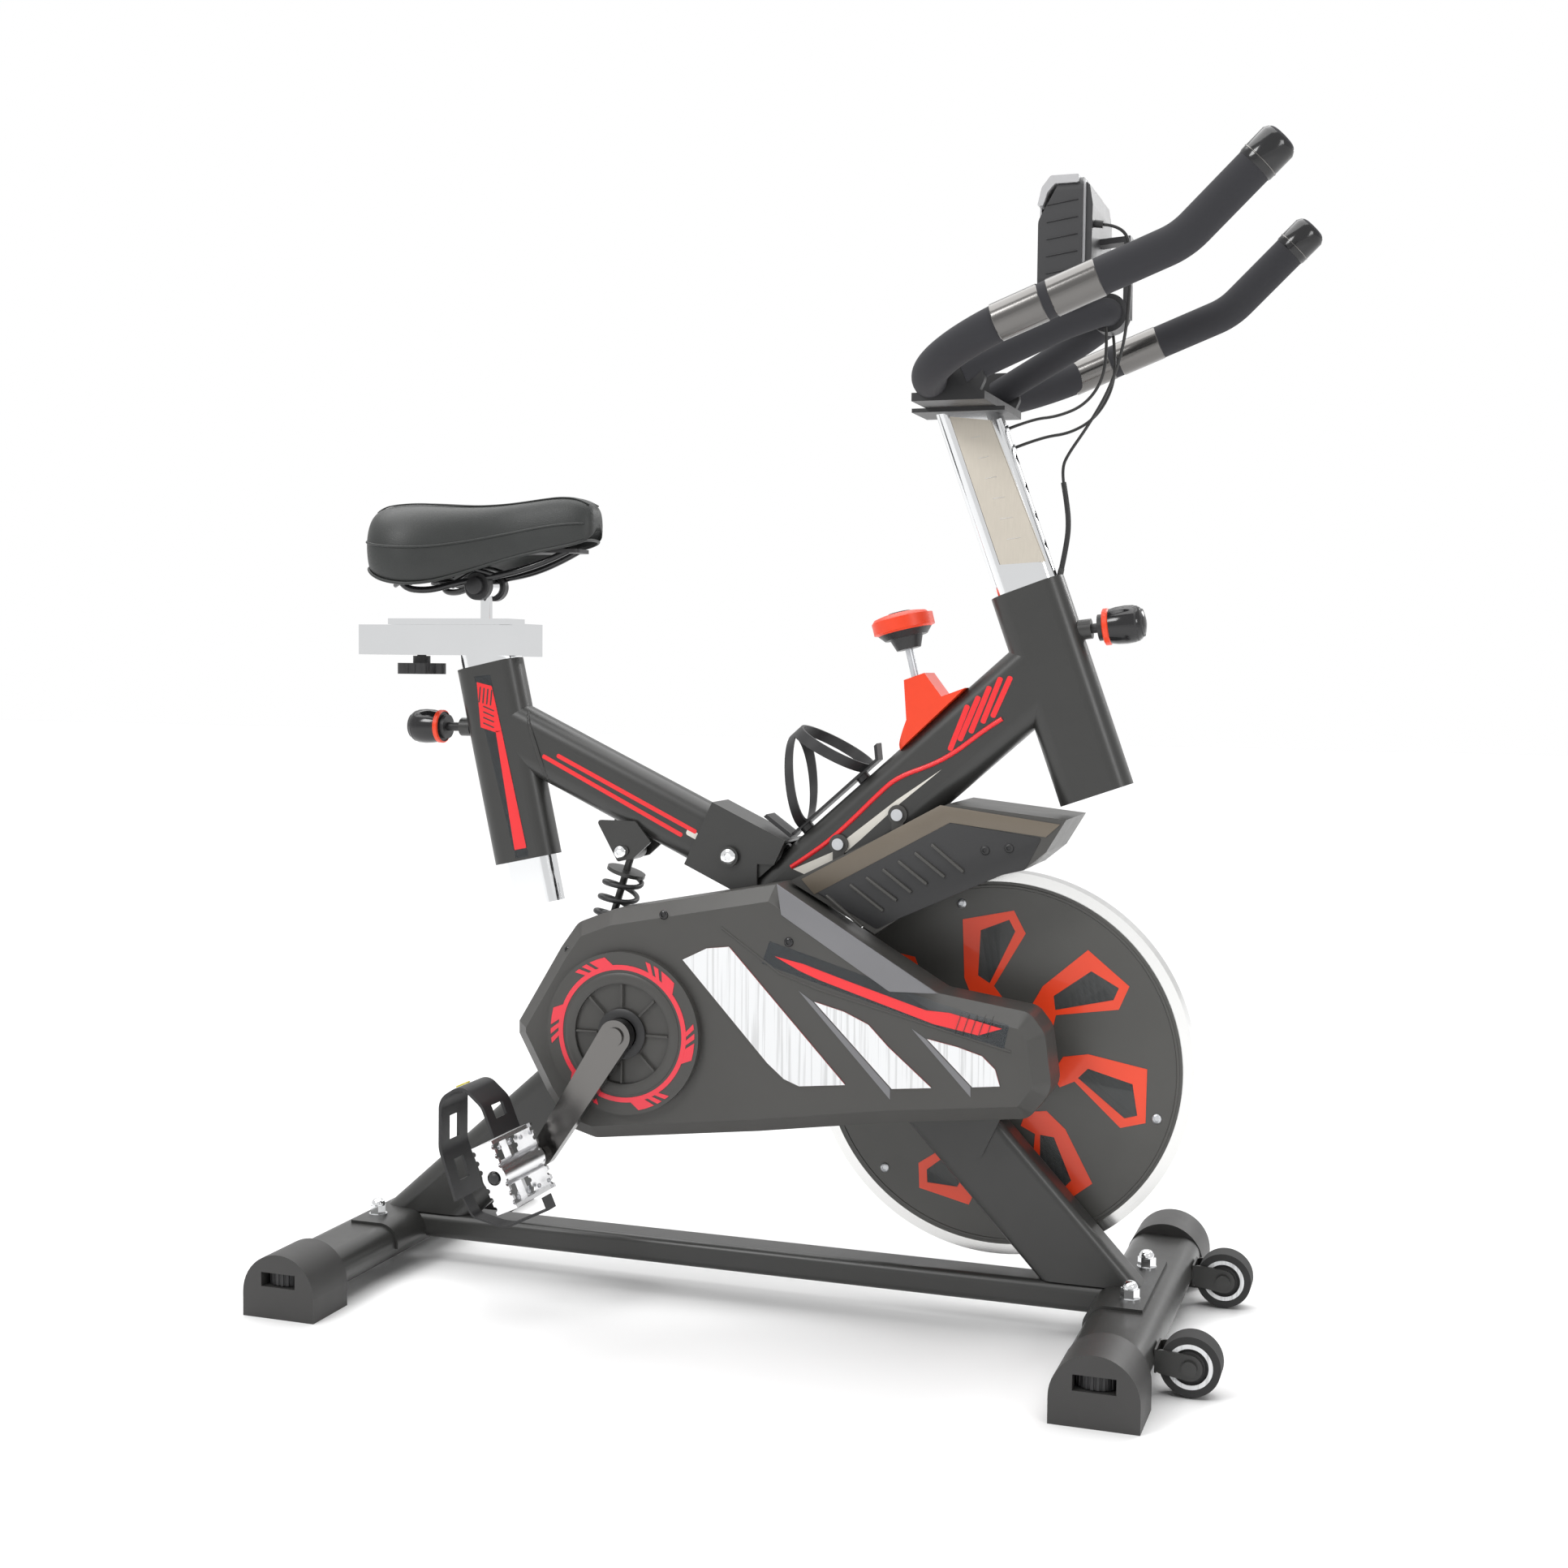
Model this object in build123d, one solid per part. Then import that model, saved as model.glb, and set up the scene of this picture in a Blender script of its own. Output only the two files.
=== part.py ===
from build123d import *
import os
from math import cos, pi, radians, sin, tan

# Indoor cycling bike.  X points forward, Y to the rider's left, Z up, millimetres.
# The model is drawn about the point midway between the two stabilisers and is moved at
# the end, so that its origin lies on the floor under the middle of its bounding box.

# ------------------------------------------------------------------ driving dimensions
STAB_SPACING = 827.0        # rear to front stabiliser centre
STAB_WIDTH = 500.0          # over the end caps
FRAME_TUBE = 75.0           # long side of the flat-oval frame tube
FRAME_THICK = 40.0          # short side of the flat-oval frame tube
FRAME_CORNER = 18.0         # corner radius of the frame tube
WALL = 2.0                  # tube wall
MAIN_ANGLE = 41.73          # main tube above the floor line
MAIN_HEIGHT = 387.65        # main tube centreline over the origin
SEAT_ANGLE = 12.5           # seat tube, back from upright
HEAD_ANGLE = 19.75          # head tube, back from upright
HEAD_LENGTH = 215.0
SEAT_LENGTH = 214.7
SEAT_FRAME_TUBE = 65.0      # long side of the sprung seat frame tube
POST_TUBE = 63.0            # long side of the chromed posts
POST_THICK = 30.0
POST_CORNER = 13.0
POST_CLEAR = 0.3            # between a post and its plastic bush
CRANK_LENGTH = 152.0
CRANK_ANGLE = -122.6        # right crank at rest, from +X towards +Z
FLYWHEEL_R = 198.0
FLYWHEEL_T = 24.0
FLYWHEEL_COVER_R = 187.0
DRIVE_PULLEY_R = 95.0
SMALL_PULLEY_R = 28.0
BELT_WIDTH = 14.0
BELT_THICK = 3.0
PAD_GAP = 3.5               # brake pad to flywheel rim at rest
BAR_R = 17.0                # foam-covered handlebar
BAR_HALF_WIDTH = 183.0
INNER_BAR_R = 13.5
WHEEL_R = 28.0
WHEEL_T = 25.0
RUN = 0.05                  # radial running clearance of shafts
GAP = 0.3                   # clearance between pieces that move past each other
POST_HOLE_PITCH = 30.0
PIN_R = 4.8
PIN_REACH_IN = 4.3

# ------------------------------------------------------------------ derived places
STAB_X = STAB_SPACING / 2
STAB_OVAL_W = 76.0
STAB_OVAL_H = 39.0
STAB_Z = 34.0
STAB_TOP = STAB_Z + STAB_OVAL_H / 2
CAP_LENGTH = 64.0
CAP_WIDTH = 82.0
CAP_INNER = STAB_WIDTH / 2 - CAP_LENGTH
TUBE_END = CAP_INNER + 14.0
PLATE_T = 3.0
PLATE_HALF = 83.0
BOLT_Y = 54.0
RAIL_TOP = 54.0
RAIL_BOTTOM = 26.0
RAIL_HALF = 22.0
SIDE = FRAME_THICK / 2

main_dir = Vector(cos(radians(MAIN_ANGLE)), 0, sin(radians(MAIN_ANGLE)))
MAIN_ORIGIN = Vector(0, 0, MAIN_HEIGHT)
seat_dir = Vector(-sin(radians(SEAT_ANGLE)), 0, cos(radians(SEAT_ANGLE)))
SEAT_BOTTOM = Vector(-257.6, 0, 452.0)
SEAT_TOP = SEAT_BOTTOM + seat_dir * SEAT_LENGTH
head_dir = Vector(-sin(radians(HEAD_ANGLE)), 0, cos(radians(HEAD_ANGLE)))
HEAD_BOTTOM = Vector(362.6, 0, 540.9)
HEAD_TOP = HEAD_BOTTOM + head_dir * HEAD_LENGTH
CRANK_AXIS = Vector(-104.0, 0, 287.0)
FLY_AXIS = Vector(262.0, 0, 260.5)
LEG_ANGLE = -46.87
leg_dir = Vector(cos(radians(LEG_ANGLE)), 0, sin(radians(LEG_ANGLE)))
LEG_ORIGIN = Vector(300.0, 0, 127.0)
PIVOT = Vector(-14.7, 0, 466.7)
SEAT_FRAME_SLOPE = -24.95
seat_frame_dir = Vector(cos(radians(SEAT_FRAME_SLOPE)), 0, sin(radians(SEAT_FRAME_SLOPE)))
SEAT_FRAME_ORIGIN = Vector(-100.0, 0, 510.4)
KNOB_TILT = 14.0
rod_dir = Vector(-sin(radians(KNOB_TILT)), 0, cos(radians(KNOB_TILT)))
ROD_ORIGIN = Vector(174.3, 0, 660.1)
BELT_Y = -48.0
FLY_COVER_Y = SIDE + 5.5
FLY_Y = FLY_COVER_Y + 2.0
COVER_BACK_Y = -27.0
COVER_SEAM_Y = -60.0
COVER_FACE_Y = -88.0
CRANK_FACE_Y = 103.0
CRANK_T = 13.0
PEDAL_Y = 176.0
AXLE_R = 8.5
SPINDLE_R = 7.0


# ------------------------------------------------------------------ helpers
def vec(x, z, y=0.0):
    return Vector(x, y, z)


def section(width, thick, corner):
    """Flat-oval outline, its long side along the local Y axis."""
    return RectangleRounded(thick, width, corner)


def bar(start, end, outline):
    """Straight bar of an outline, whose thickness lies along world Y."""
    plane = Plane(origin=start, x_dir=(0, 1, 0), z_dir=(end - start).normalized())
    return extrude(plane * outline, amount=(end - start).length)


def oval_tube(start, end, width, thick, corner, wall=WALL):
    outer = section(width, thick, corner)
    inner = section(width - 2 * wall, thick - 2 * wall, corner - wall)
    return bar(start, end, outer) - bar(start, end, inner)


def rod(start, end, radius):
    plane = Plane(origin=start, z_dir=(end - start).normalized())
    return extrude(plane * Circle(radius), amount=(end - start).length)


def cone(start, end, r_start, r_end):
    plane = Plane(origin=start, z_dir=(end - start).normalized())
    height = (end - start).length
    return plane * Cone(r_start, r_end, height, align=(Align.CENTER, Align.CENTER, Align.MIN))


def disc(centre, radius, y0, y1):
    """Round slab about a cross axis, between two y planes."""
    return rod(Vector(centre.X, y0, centre.Z), Vector(centre.X, y1, centre.Z), radius)


def block(x0, x1, y0, y1, z0, z1):
    return Pos((x0 + x1) / 2, (y0 + y1) / 2, (z0 + z1) / 2) * Box(x1 - x0, y1 - y0, z1 - z0)


def slab(points, y0, y1, radius=None):
    """Plate with an (x, z) outline between two y planes, its corners rounded."""
    corners = [Vector(x, y0, z) for x, z in points]
    if radius is None:
        edge = Polyline(*corners, close=True)
    else:
        edge = FilletPolyline(*corners, radius=radius, close=True)
    return extrude(make_face(edge), amount=y1 - y0, dir=(0, 1, 0))


def along(origin, direction, length, height=0.0, y=0.0):
    """Point at a length along a tube and a height square to it."""
    up = Vector(-direction.Z, 0, direction.X)
    return origin + direction * length + up * height + Vector(0, y, 0)


def sweep_round(points, radii, radius):
    """Round bar along straight runs joined by tangent arcs."""
    path = FilletPolyline(*points, radius=radii)
    plane = Plane(origin=path @ 0, z_dir=path % 0)
    return sweep(plane * Circle(radius), path=path)


def cord_radii(points):
    """Largest arcs for a cord: 0.45 of the shorter run over the tangent of half the turn."""
    radii = []
    for a, b, c in zip(points, points[1:], points[2:]):
        turn = radians((b - a).get_angle(c - b))
        shorter = min((b - a).length, (c - b).length)
        radii.append(0.45 * shorter / tan(turn / 2))
    return radii


def cord(name, points, diameter):
    """Plain tube along a cord's route, with its radii and volume reported."""
    vectors = [Vector(*p) for p in points]
    radii = cord_radii(vectors)
    path = FilletPolyline(*vectors, radius=radii)
    plane = Plane(origin=path @ 0, z_dir=path % 0)
    tube = sweep(plane * Circle(diameter / 2), path=path)
    expected = pi * diameter ** 2 / 4 * path.length
    print(name, "length", round(path.length, 1), "radii", [round(r, 1) for r in radii],
          "volume ratio", round(tube.volume / expected, 4))
    return tube


def mirrored(shape):
    return mirror(shape, about=Plane.XZ)


def group(*shapes):
    """Separate solids kept in one node."""
    solids = []
    for shape in shapes:
        solids.extend(shape.solids())
    return Compound(children=solids)


# ------------------------------------------------------------------ base
def stab_section(grow):
    return section(STAB_OVAL_H + 2 * grow, STAB_OVAL_W + 2 * grow, STAB_OVAL_H / 2 + grow - 0.5)


def stab_bar(x, half, grow=0.0):
    plane = Plane(origin=(x, -half, STAB_Z), x_dir=(1, 0, 0), z_dir=(0, 1, 0))
    return extrude(plane * stab_section(grow), amount=2 * half)


def bolt_holes(x, radius):
    holes = [rod(vec(x, 0, s * BOLT_Y), vec(x, STAB_TOP + 20, s * BOLT_Y), radius) for s in (-1, 1)]
    return holes[0] + holes[1]


def stabiliser(x):
    tube = stab_bar(x, TUBE_END) - stab_bar(x, TUBE_END + 1, -WALL)
    return tube - bolt_holes(x, 4.2)


def saddle_plate(x, inward):
    """Bent plate over the tube, welded under the frame; it wraps the inner side."""
    shell = stab_bar(x, PLATE_HALF, PLATE_T) - stab_bar(x, PLATE_HALF + 1)
    near, far = sorted((x - inward * 16.5, x + inward * (STAB_OVAL_W / 2 + PLATE_T + 1)))
    keep = block(near, far, -PLATE_HALF, PLATE_HALF, STAB_Z - 4, STAB_TOP + PLATE_T + 1)
    return (shell & keep) - bolt_holes(x, 4.2)


def end_cap(x, side):
    """Foot: a block with an arched top, a socket for the tube and a levelling wheel pocket."""
    half = CAP_WIDTH / 2
    base = Polyline((half, 25), (half, 0), (-half, 0), (-half, 25))
    arch = ThreePointArc((-half, 25), (0, 66), (half, 25))
    profile = make_face(base + arch)
    plane = Plane(origin=(x, -STAB_WIDTH / 2, 0), x_dir=(1, 0, 0), z_dir=(0, -1, 0))
    cap = extrude(plane * profile, amount=-CAP_LENGTH)
    cap -= stab_bar(x, TUBE_END + 0.5, 0.1)
    foot = Vector(x, foot_y(-1), 0)
    cap -= rod(foot + Vector(0, 0, 32.5), foot + Vector(0, 0, 47.0), FOOT_WHEEL_R + 1.2)
    cap -= block(x - 19.5, x + 19.5, -STAB_WIDTH / 2 - 1, foot_y(-1), 32.5, 47.0)
    cap -= rod(foot + Vector(0, 0, -1), foot + Vector(0, 0, 8.0), FOOT_PAD_R + 1.5)
    cap -= rod(foot, foot + Vector(0, 0, 40), FOOT_STEM_R + 0.4)
    return mirrored(cap) if side > 0 else cap


FOOT_WHEEL_R = 20.5
FOOT_PAD_R = 14.0
FOOT_STEM_R = 5.0


def foot_y(side):
    return side * (STAB_WIDTH / 2 - 24.0)


def levelling_foot(x, side):
    """Thumbwheel, threaded stem and pad, turned from the slot in the cap."""
    base = Vector(x, foot_y(side), 0)
    wheel = rod(base + Vector(0, 0, 33.5), base + Vector(0, 0, 46.0), FOOT_WHEEL_R)
    flutes = [base + Vector(FOOT_WHEEL_R * cos(a), FOOT_WHEEL_R * sin(a), 33)
              for a in (2 * pi * k / 24 for k in range(24))]
    for flute in flutes:
        wheel -= rod(flute, flute + Vector(0, 0, 14), 1.3)
    stem = rod(base + Vector(0, 0, 4.0), base + Vector(0, 0, 34.0), FOOT_STEM_R)
    pad = rod(base + Vector(0, 0, 1.0), base + Vector(0, 0, 6.0), FOOT_PAD_R)
    return wheel + stem + pad


def acorn_bolt(x, y):
    """Carriage bolt from below with a washer and a domed nut on the plate."""
    top = STAB_TOP + PLATE_T
    base = Vector(x, y, 0)
    seat = STAB_Z - STAB_OVAL_H / 2
    head = rod(base + Vector(0, 0, seat - 3), base + Vector(0, 0, seat), 9)
    shank = rod(base + Vector(0, 0, STAB_Z - STAB_OVAL_H / 2 - 1), base + Vector(0, 0, top + 3), 4)
    washer = rod(base + Vector(0, 0, top), base + Vector(0, 0, top + 2), 10)
    nut = extrude(Plane((x, y, top + 2)) * RegularPolygon(9.2, 6), amount=9)
    dome = rod(base + Vector(0, 0, top + 11), base + Vector(0, 0, top + 18.5), 7.6)
    dome = fillet(dome.edges().sort_by(Axis.Z)[-1], 6.5)
    return head + shank + washer + nut + dome


def lower_rail():
    plane = Plane(origin=(-STAB_X, 0, (RAIL_TOP + RAIL_BOTTOM) / 2), x_dir=(0, 1, 0), z_dir=(1, 0, 0))
    outer = extrude(plane * RectangleRounded(2 * RAIL_HALF, RAIL_TOP - RAIL_BOTTOM, 8), amount=STAB_SPACING)
    inner = RectangleRounded(2 * RAIL_HALF - 2 * WALL, RAIL_TOP - RAIL_BOTTOM - 2 * WALL, 6)
    rail = outer - extrude(plane * inner, amount=STAB_SPACING)
    for x in (-STAB_X, STAB_X):
        rail -= stab_bar(x, 60, PLATE_T)
    return rail.solids().sort_by(SortBy.VOLUME)[-1]


def floor_trim():
    """What the frame tubes are cut back from: the plates and the lower rail's top."""
    trim = block(-600, 600, -100, 100, -100, RAIL_TOP)
    for x in (-STAB_X, STAB_X):
        trim += stab_bar(x, 100, PLATE_T)
    return trim


# ------------------------------------------------------------------ frame tubes
def main_bar(grow=0.0):
    outline = section(FRAME_TUBE + 2 * grow, FRAME_THICK + 2 * grow, FRAME_CORNER + grow)
    return bar(along(MAIN_ORIGIN, main_dir, -620), along(MAIN_ORIGIN, main_dir, 430), outline)


def head_bar(grow=0.0):
    outline = section(FRAME_TUBE + 2 * grow, FRAME_THICK + 2 * grow, FRAME_CORNER + grow)
    return bar(HEAD_BOTTOM, HEAD_TOP, outline)


def rod_bore(radius):
    return rod(ROD_ORIGIN - rod_dir * 230, ROD_ORIGIN + rod_dir * 60, radius)


def main_tube():
    start, end = along(MAIN_ORIGIN, main_dir, -620), along(MAIN_ORIGIN, main_dir, 430)
    tube = oval_tube(start, end, FRAME_TUBE, FRAME_THICK, FRAME_CORNER)
    tube -= floor_trim()
    tube -= head_bar()
    tube -= disc(CRANK_AXIS, BB_R, -40, 40)
    tube -= rod_bore(6.0)
    return tube.solids().sort_by(SortBy.VOLUME)[-1]


BB_R = 24.0
BB_HALF = 34.0
BEARING_T = 11.0


def bottom_bracket():
    return disc(CRANK_AXIS, BB_R, -BB_HALF, BB_HALF) - disc(CRANK_AXIS, 19.0, -BB_HALF - 1, BB_HALF + 1)


def bearing(axis, y0, outer, inner):
    return disc(axis, outer, y0, y0 + BEARING_T) - disc(axis, inner, y0 - 1, y0 + BEARING_T + 1)


def bearings():
    found = []
    for y0 in (-BB_HALF, BB_HALF - BEARING_T):
        found.append(bearing(CRANK_AXIS, y0, 19.0, AXLE_R + RUN))
    for y0 in (-SHELL_HALF, SHELL_HALF - BEARING_T):
        found.append(bearing(FLY_AXIS, y0, 17.5, FLY_AXLE_R + RUN))
    return group(*found)


def flywheel_leg():
    start, end = along(LEG_ORIGIN, leg_dir, -460), along(LEG_ORIGIN, leg_dir, 160)
    leg = oval_tube(start, end, FRAME_TUBE + 1, FRAME_THICK, 10.0)
    leg -= floor_trim()
    leg -= main_bar()
    leg -= disc(FLY_AXIS, SHELL_R, -30, 30)
    return leg.solids().sort_by(SortBy.VOLUME)[-1]


SHELL_R = 24.0
SHELL_HALF = SIDE + 4.0
FLY_AXLE_R = 7.5


def flywheel_bracket():
    """Bearing shell on the front of the leg, with a gusset plate on each side."""
    foot = along(FLY_AXIS, leg_dir, 0, -63.6)
    shell = disc(FLY_AXIS, SHELL_R, -SHELL_HALF, SHELL_HALF) - disc(FLY_AXIS, 17.5, -40, 40)
    plates = []
    for y0 in (-SIDE - PLATE_T, SIDE):
        plane = Plane(origin=(0, y0, 0), x_dir=(1, 0, 0), z_dir=(0, -1, 0))
        circles = [(FLY_AXIS, 32.0), (foot - leg_dir * 45, 14.0), (foot + leg_dir * 45, 14.0)]
        sketch = Sketch() + [Pos(c.X, c.Z) * Circle(r) for c, r in circles]
        outline = make_hull(sketch.edges())
        plates.append(extrude(plane * outline, amount=-PLATE_T) - disc(FLY_AXIS, SHELL_R, -40, 40))
    return group(shell + plates[0] + plates[1])


def head_tube():
    tube = head_bar()
    tube += rod(FRONT_PIN_ROOT - front_pin_dir * 1.5, FRONT_PIN_ROOT + front_pin_dir * 11, 10)
    bore = section(FRAME_TUBE - 2 * WALL, FRAME_THICK - 2 * WALL, FRAME_CORNER - WALL)
    tube -= bar(HEAD_BOTTOM, HEAD_TOP, bore)
    tube -= rod(FRONT_PIN_ROOT - front_pin_dir * 8, FRONT_PIN_ROOT + front_pin_dir * 14, PIN_R + GAP)
    bush = post_bush(HEAD_TOP, head_dir)
    filled = bar(HEAD_BOTTOM, HEAD_TOP, section(FRAME_TUBE, FRAME_THICK, 1))
    room = POST_CLEAR + 0.2
    path = section(POST_TUBE + 2 * room, POST_THICK + 2 * room, POST_CORNER + room)
    grommet = sleeve_grommet() - filled - bar(HEAD_TOP, HEAD_TOP + head_dir * 20, path)
    return group(tube, bush + grommet)


def post_bush(top, direction):
    """Plastic sleeve in the mouth of a tube, with a thin flange on its rim."""
    start = top - direction * BUSH_LENGTH
    outline = section(FRAME_TUBE - 2 * WALL, FRAME_THICK - 2 * WALL, FRAME_CORNER - WALL)
    flange = section(FRAME_TUBE, FRAME_THICK, FRAME_CORNER)
    bore = section(POST_TUBE + 2 * POST_CLEAR, POST_THICK + 2 * POST_CLEAR, POST_CORNER + POST_CLEAR)
    sleeve = bar(start, top, outline) + bar(top, top + direction * 2, flange)
    return sleeve - bar(start - direction, top + direction * 3, bore)


BUSH_LENGTH = 38.0
front_pin_dir = Vector(cos(radians(7)), 0, sin(radians(7)))
FRONT_PIN_ROOT = Vector(343.4, 0, 703.3)
rear_pin_dir = Vector(-1, 0, 0)
REAR_PIN_ROOT = Vector(-327.7, 0, 594.5)


# ------------------------------------------------------------------ sprung seat frame
def seat_frame_tube():
    start = along(SEAT_FRAME_ORIGIN, seat_frame_dir, -210)
    end = along(SEAT_FRAME_ORIGIN, seat_frame_dir, 170)
    tube = oval_tube(start, end, SEAT_FRAME_TUBE, FRAME_THICK, FRAME_CORNER)
    tube -= bar(SEAT_BOTTOM, SEAT_TOP, section(FRAME_TUBE, FRAME_THICK, FRAME_CORNER))
    tube -= main_bar(PIVOT_GAP)
    tube = tube.solids().sort_by(SortBy.VOLUME)[-1]
    sleeve = disc(PIVOT, 10, -SIDE, SIDE)
    return (tube + sleeve) - disc(PIVOT, PIVOT_R + RUN, -60, 60)


PIVOT_GAP = 4.0
PIVOT_R = 6.0
YOKE_CLEAR = 0.5
YOKE_T = 3.5
YOKE_RISE = 3.0


def pivot_yoke():
    """Side plates and a top strap, welded to the main tube round the pivot."""
    half = SEAT_FRAME_TUBE / 2
    reach = (PIVOT - SEAT_FRAME_ORIGIN).dot(seat_frame_dir)
    top = half + YOKE_RISE
    corners = [along(SEAT_FRAME_ORIGIN, seat_frame_dir, reach + s, h)
               for s, h in ((-42, top + 3), (47, top + 3), (47, -half - 2), (-42, -half - 2))]
    outline = [(c.X, c.Z) for c in corners]
    inner, outer = SIDE + YOKE_CLEAR, SIDE + YOKE_CLEAR + YOKE_T
    yoke = slab(outline, -outer, -inner) + slab(outline, inner, outer)
    strap = [along(SEAT_FRAME_ORIGIN, seat_frame_dir, reach + s, h)
             for s, h in ((-42, top), (-42, top + 3), (47, top + 3), (47, top))]
    yoke += slab([(c.X, c.Z) for c in strap], -outer, outer)
    yoke -= main_bar()
    yoke -= block(PIVOT.X + 30, 400, -60, 60, 300, 460)
    yoke = group(*yoke.solids().filter_by(lambda s: s.center().Z > MAIN_HEIGHT))
    yoke = yoke.solids().sort_by(SortBy.VOLUME)[-1] - disc(PIVOT, PIVOT_R, -60, 60)
    bolt = disc(PIVOT, PIVOT_R, -outer - 1, outer + 1)
    bolt += disc(PIVOT, 10.5, -outer - 5, -outer) + disc(PIVOT, 10.5, outer, outer + 5)
    return group(yoke, bolt)


def seat_tube():
    tube = oval_tube(SEAT_BOTTOM, SEAT_TOP, FRAME_TUBE, FRAME_THICK, FRAME_CORNER)
    tube += rod(REAR_PIN_ROOT + Vector(1.5, 0, 0), REAR_PIN_ROOT - Vector(11, 0, 0), 10)
    tube -= rod(REAR_PIN_ROOT + Vector(9, 0, 0), REAR_PIN_ROOT - Vector(14, 0, 0), PIN_R + GAP)
    return group(tube, post_bush(SEAT_TOP, seat_dir))


SHOCK_EYE = Vector(-134.0, 0, 467.8)
SHOCK_LEAN = 17.5
shock_dir = Vector(-sin(radians(SHOCK_LEAN)), 0, -cos(radians(SHOCK_LEAN)))
SHOCK_LENGTH = 150.0
COIL_R = 19.5
COIL_WIRE_R = 2.8
SEAT_DISC_R = 21.0
COIL_START = 28.0
COIL_END = 110.0
CUP_R = 14.0
CUP_BORE_R = 11.0
SHOCK_ROD_R = 4.0


def shock_rod():
    """Upper end of the shock: two cheeks under the seat frame, eye, rod and spring seat."""
    near = [(-167.0, 499.5), (-122.0, 499.5), (-104.0, 478.0), (-124.0, 460.0), (-142.0, 455.5)]
    part = slab(near, -SIDE - 3, -SIDE, 3) + slab(near, SIDE, SIDE + 3, 3)
    part += disc(SHOCK_EYE, 5.0, -SIDE - 5, SIDE + 5)
    part += disc(SHOCK_EYE, 11.0, -12, 12)
    part += rod(SHOCK_EYE + shock_dir * 8, SHOCK_EYE + shock_dir * 106, SHOCK_ROD_R)
    part += rod(SHOCK_EYE + shock_dir * (COIL_START - 4), SHOCK_EYE + shock_dir * COIL_START, SEAT_DISC_R)
    return part


def shock_mount():
    """Lower end: ears on the main tube, eye, cup that the rod slides in, spring seat."""
    eye = SHOCK_EYE + shock_dir * SHOCK_LENGTH
    base = along(MAIN_ORIGIN, main_dir, (eye - MAIN_ORIGIN).dot(main_dir), FRAME_TUBE / 2)
    plates = []
    for y0, y1 in ((-17.0, -13.0), (13.0, 17.0)):
        plane = Plane(origin=(0, y0, 0), x_dir=(1, 0, 0), z_dir=(0, -1, 0))
        spots = [(eye, 10.0), (base - main_dir * 24, 6.0), (base + main_dir * 24, 6.0)]
        sketch = Sketch() + [Pos(c.X, c.Z) * Circle(r) for c, r in spots]
        plates.append(extrude(plane * make_hull(sketch.edges()), amount=-(y1 - y0)))
    part = plates[0] + plates[1] - main_bar()
    part += disc(eye, 5.0, -20, 20) + disc(eye, 10.0, -13, 13)
    cup = rod(SHOCK_EYE + shock_dir * 76, eye - shock_dir * 5, CUP_R)
    cup -= rod(SHOCK_EYE + shock_dir * 70, eye - shock_dir * 14, CUP_BORE_R)
    ring = rod(SHOCK_EYE + shock_dir * COIL_END, SHOCK_EYE + shock_dir * (COIL_END + 4), SEAT_DISC_R)
    ring -= rod(SHOCK_EYE + shock_dir * 100, SHOCK_EYE + shock_dir * 120, CUP_R - 1)
    return part + cup + ring


def shock_spring():
    """Coil spring between the two spring seats."""
    length = COIL_END - COIL_START - 2 * COIL_WIRE_R - 1.0
    start = SHOCK_EYE + shock_dir * (COIL_START + COIL_WIRE_R + 0.5)
    plane = Plane(origin=start, x_dir=(0, 1, 0), z_dir=shock_dir)
    helix = Helix(pitch=length / 4.5, height=length, radius=COIL_R)
    wire = sweep(Plane(origin=helix @ 0, z_dir=helix % 0) * Circle(COIL_WIRE_R), path=helix, is_frenet=True)
    return plane * wire


# ------------------------------------------------------------------ pull pins
def pull_pin(root, direction, reach):
    """Locking pin with a ringed knob; its nose stops just short of the post."""
    nose = root - direction * PIN_REACH_IN
    tip = root + direction * reach
    part = rod(nose, root + direction * (reach - 10), PIN_R)
    part += rod(root + direction * (reach - 44), root + direction * (reach - 38), 13.0)
    part += rod(root + direction * (reach - 38), root + direction * (reach - 33), 17.0)
    part += cone(root + direction * (reach - 33), root + direction * (reach - 12), 16.5, 18.5)
    part += cone(root + direction * (reach - 12), root + direction * (reach - 5), 18.5, 17.0)
    part += cone(root + direction * (reach - 5), tip, 15.0, 13.5)
    return part


# ------------------------------------------------------------------ seat post and slider
RAIL_Z = 673.0
RAIL_H = 33.0
RAIL_HALF_Y = 20.0
RAIL_REAR = -456.5
RAIL_FRONT = -256.0
CARRIAGE_REAR = -419.8
CARRIAGE_FRONT = -273.0
CARRIAGE_T = 6.5
SLOT_HALF = 6.5
SLIDE_BACK = 50.0
SLIDE_FORWARD = 15.0
KNOB_X = -389.0
STUB_X = -309.3


def post_holes(root, direction, post_direction, first, last, pitch):
    """Row of locking holes through the wall that faces the pin."""
    holes = []
    for k in range(first, last + 1):
        centre = root + post_direction * (k * pitch)
        holes.append(rod(centre - direction * 16, centre + direction * 2, PIN_R + 0.7))
    return holes


def seat_post():
    bottom = SEAT_BOTTOM - seat_dir * 50
    tube = oval_tube(bottom, bottom + seat_dir * 320, POST_TUBE, POST_THICK, POST_CORNER)
    tube &= block(-500, 0, -60, 60, 300, RAIL_Z)
    for hole in post_holes(REAR_PIN_ROOT, rear_pin_dir, seat_dir, -6, 1, 25.0):
        tube -= hole
    return tube.solids().sort_by(SortBy.VOLUME)[-1]


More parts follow.
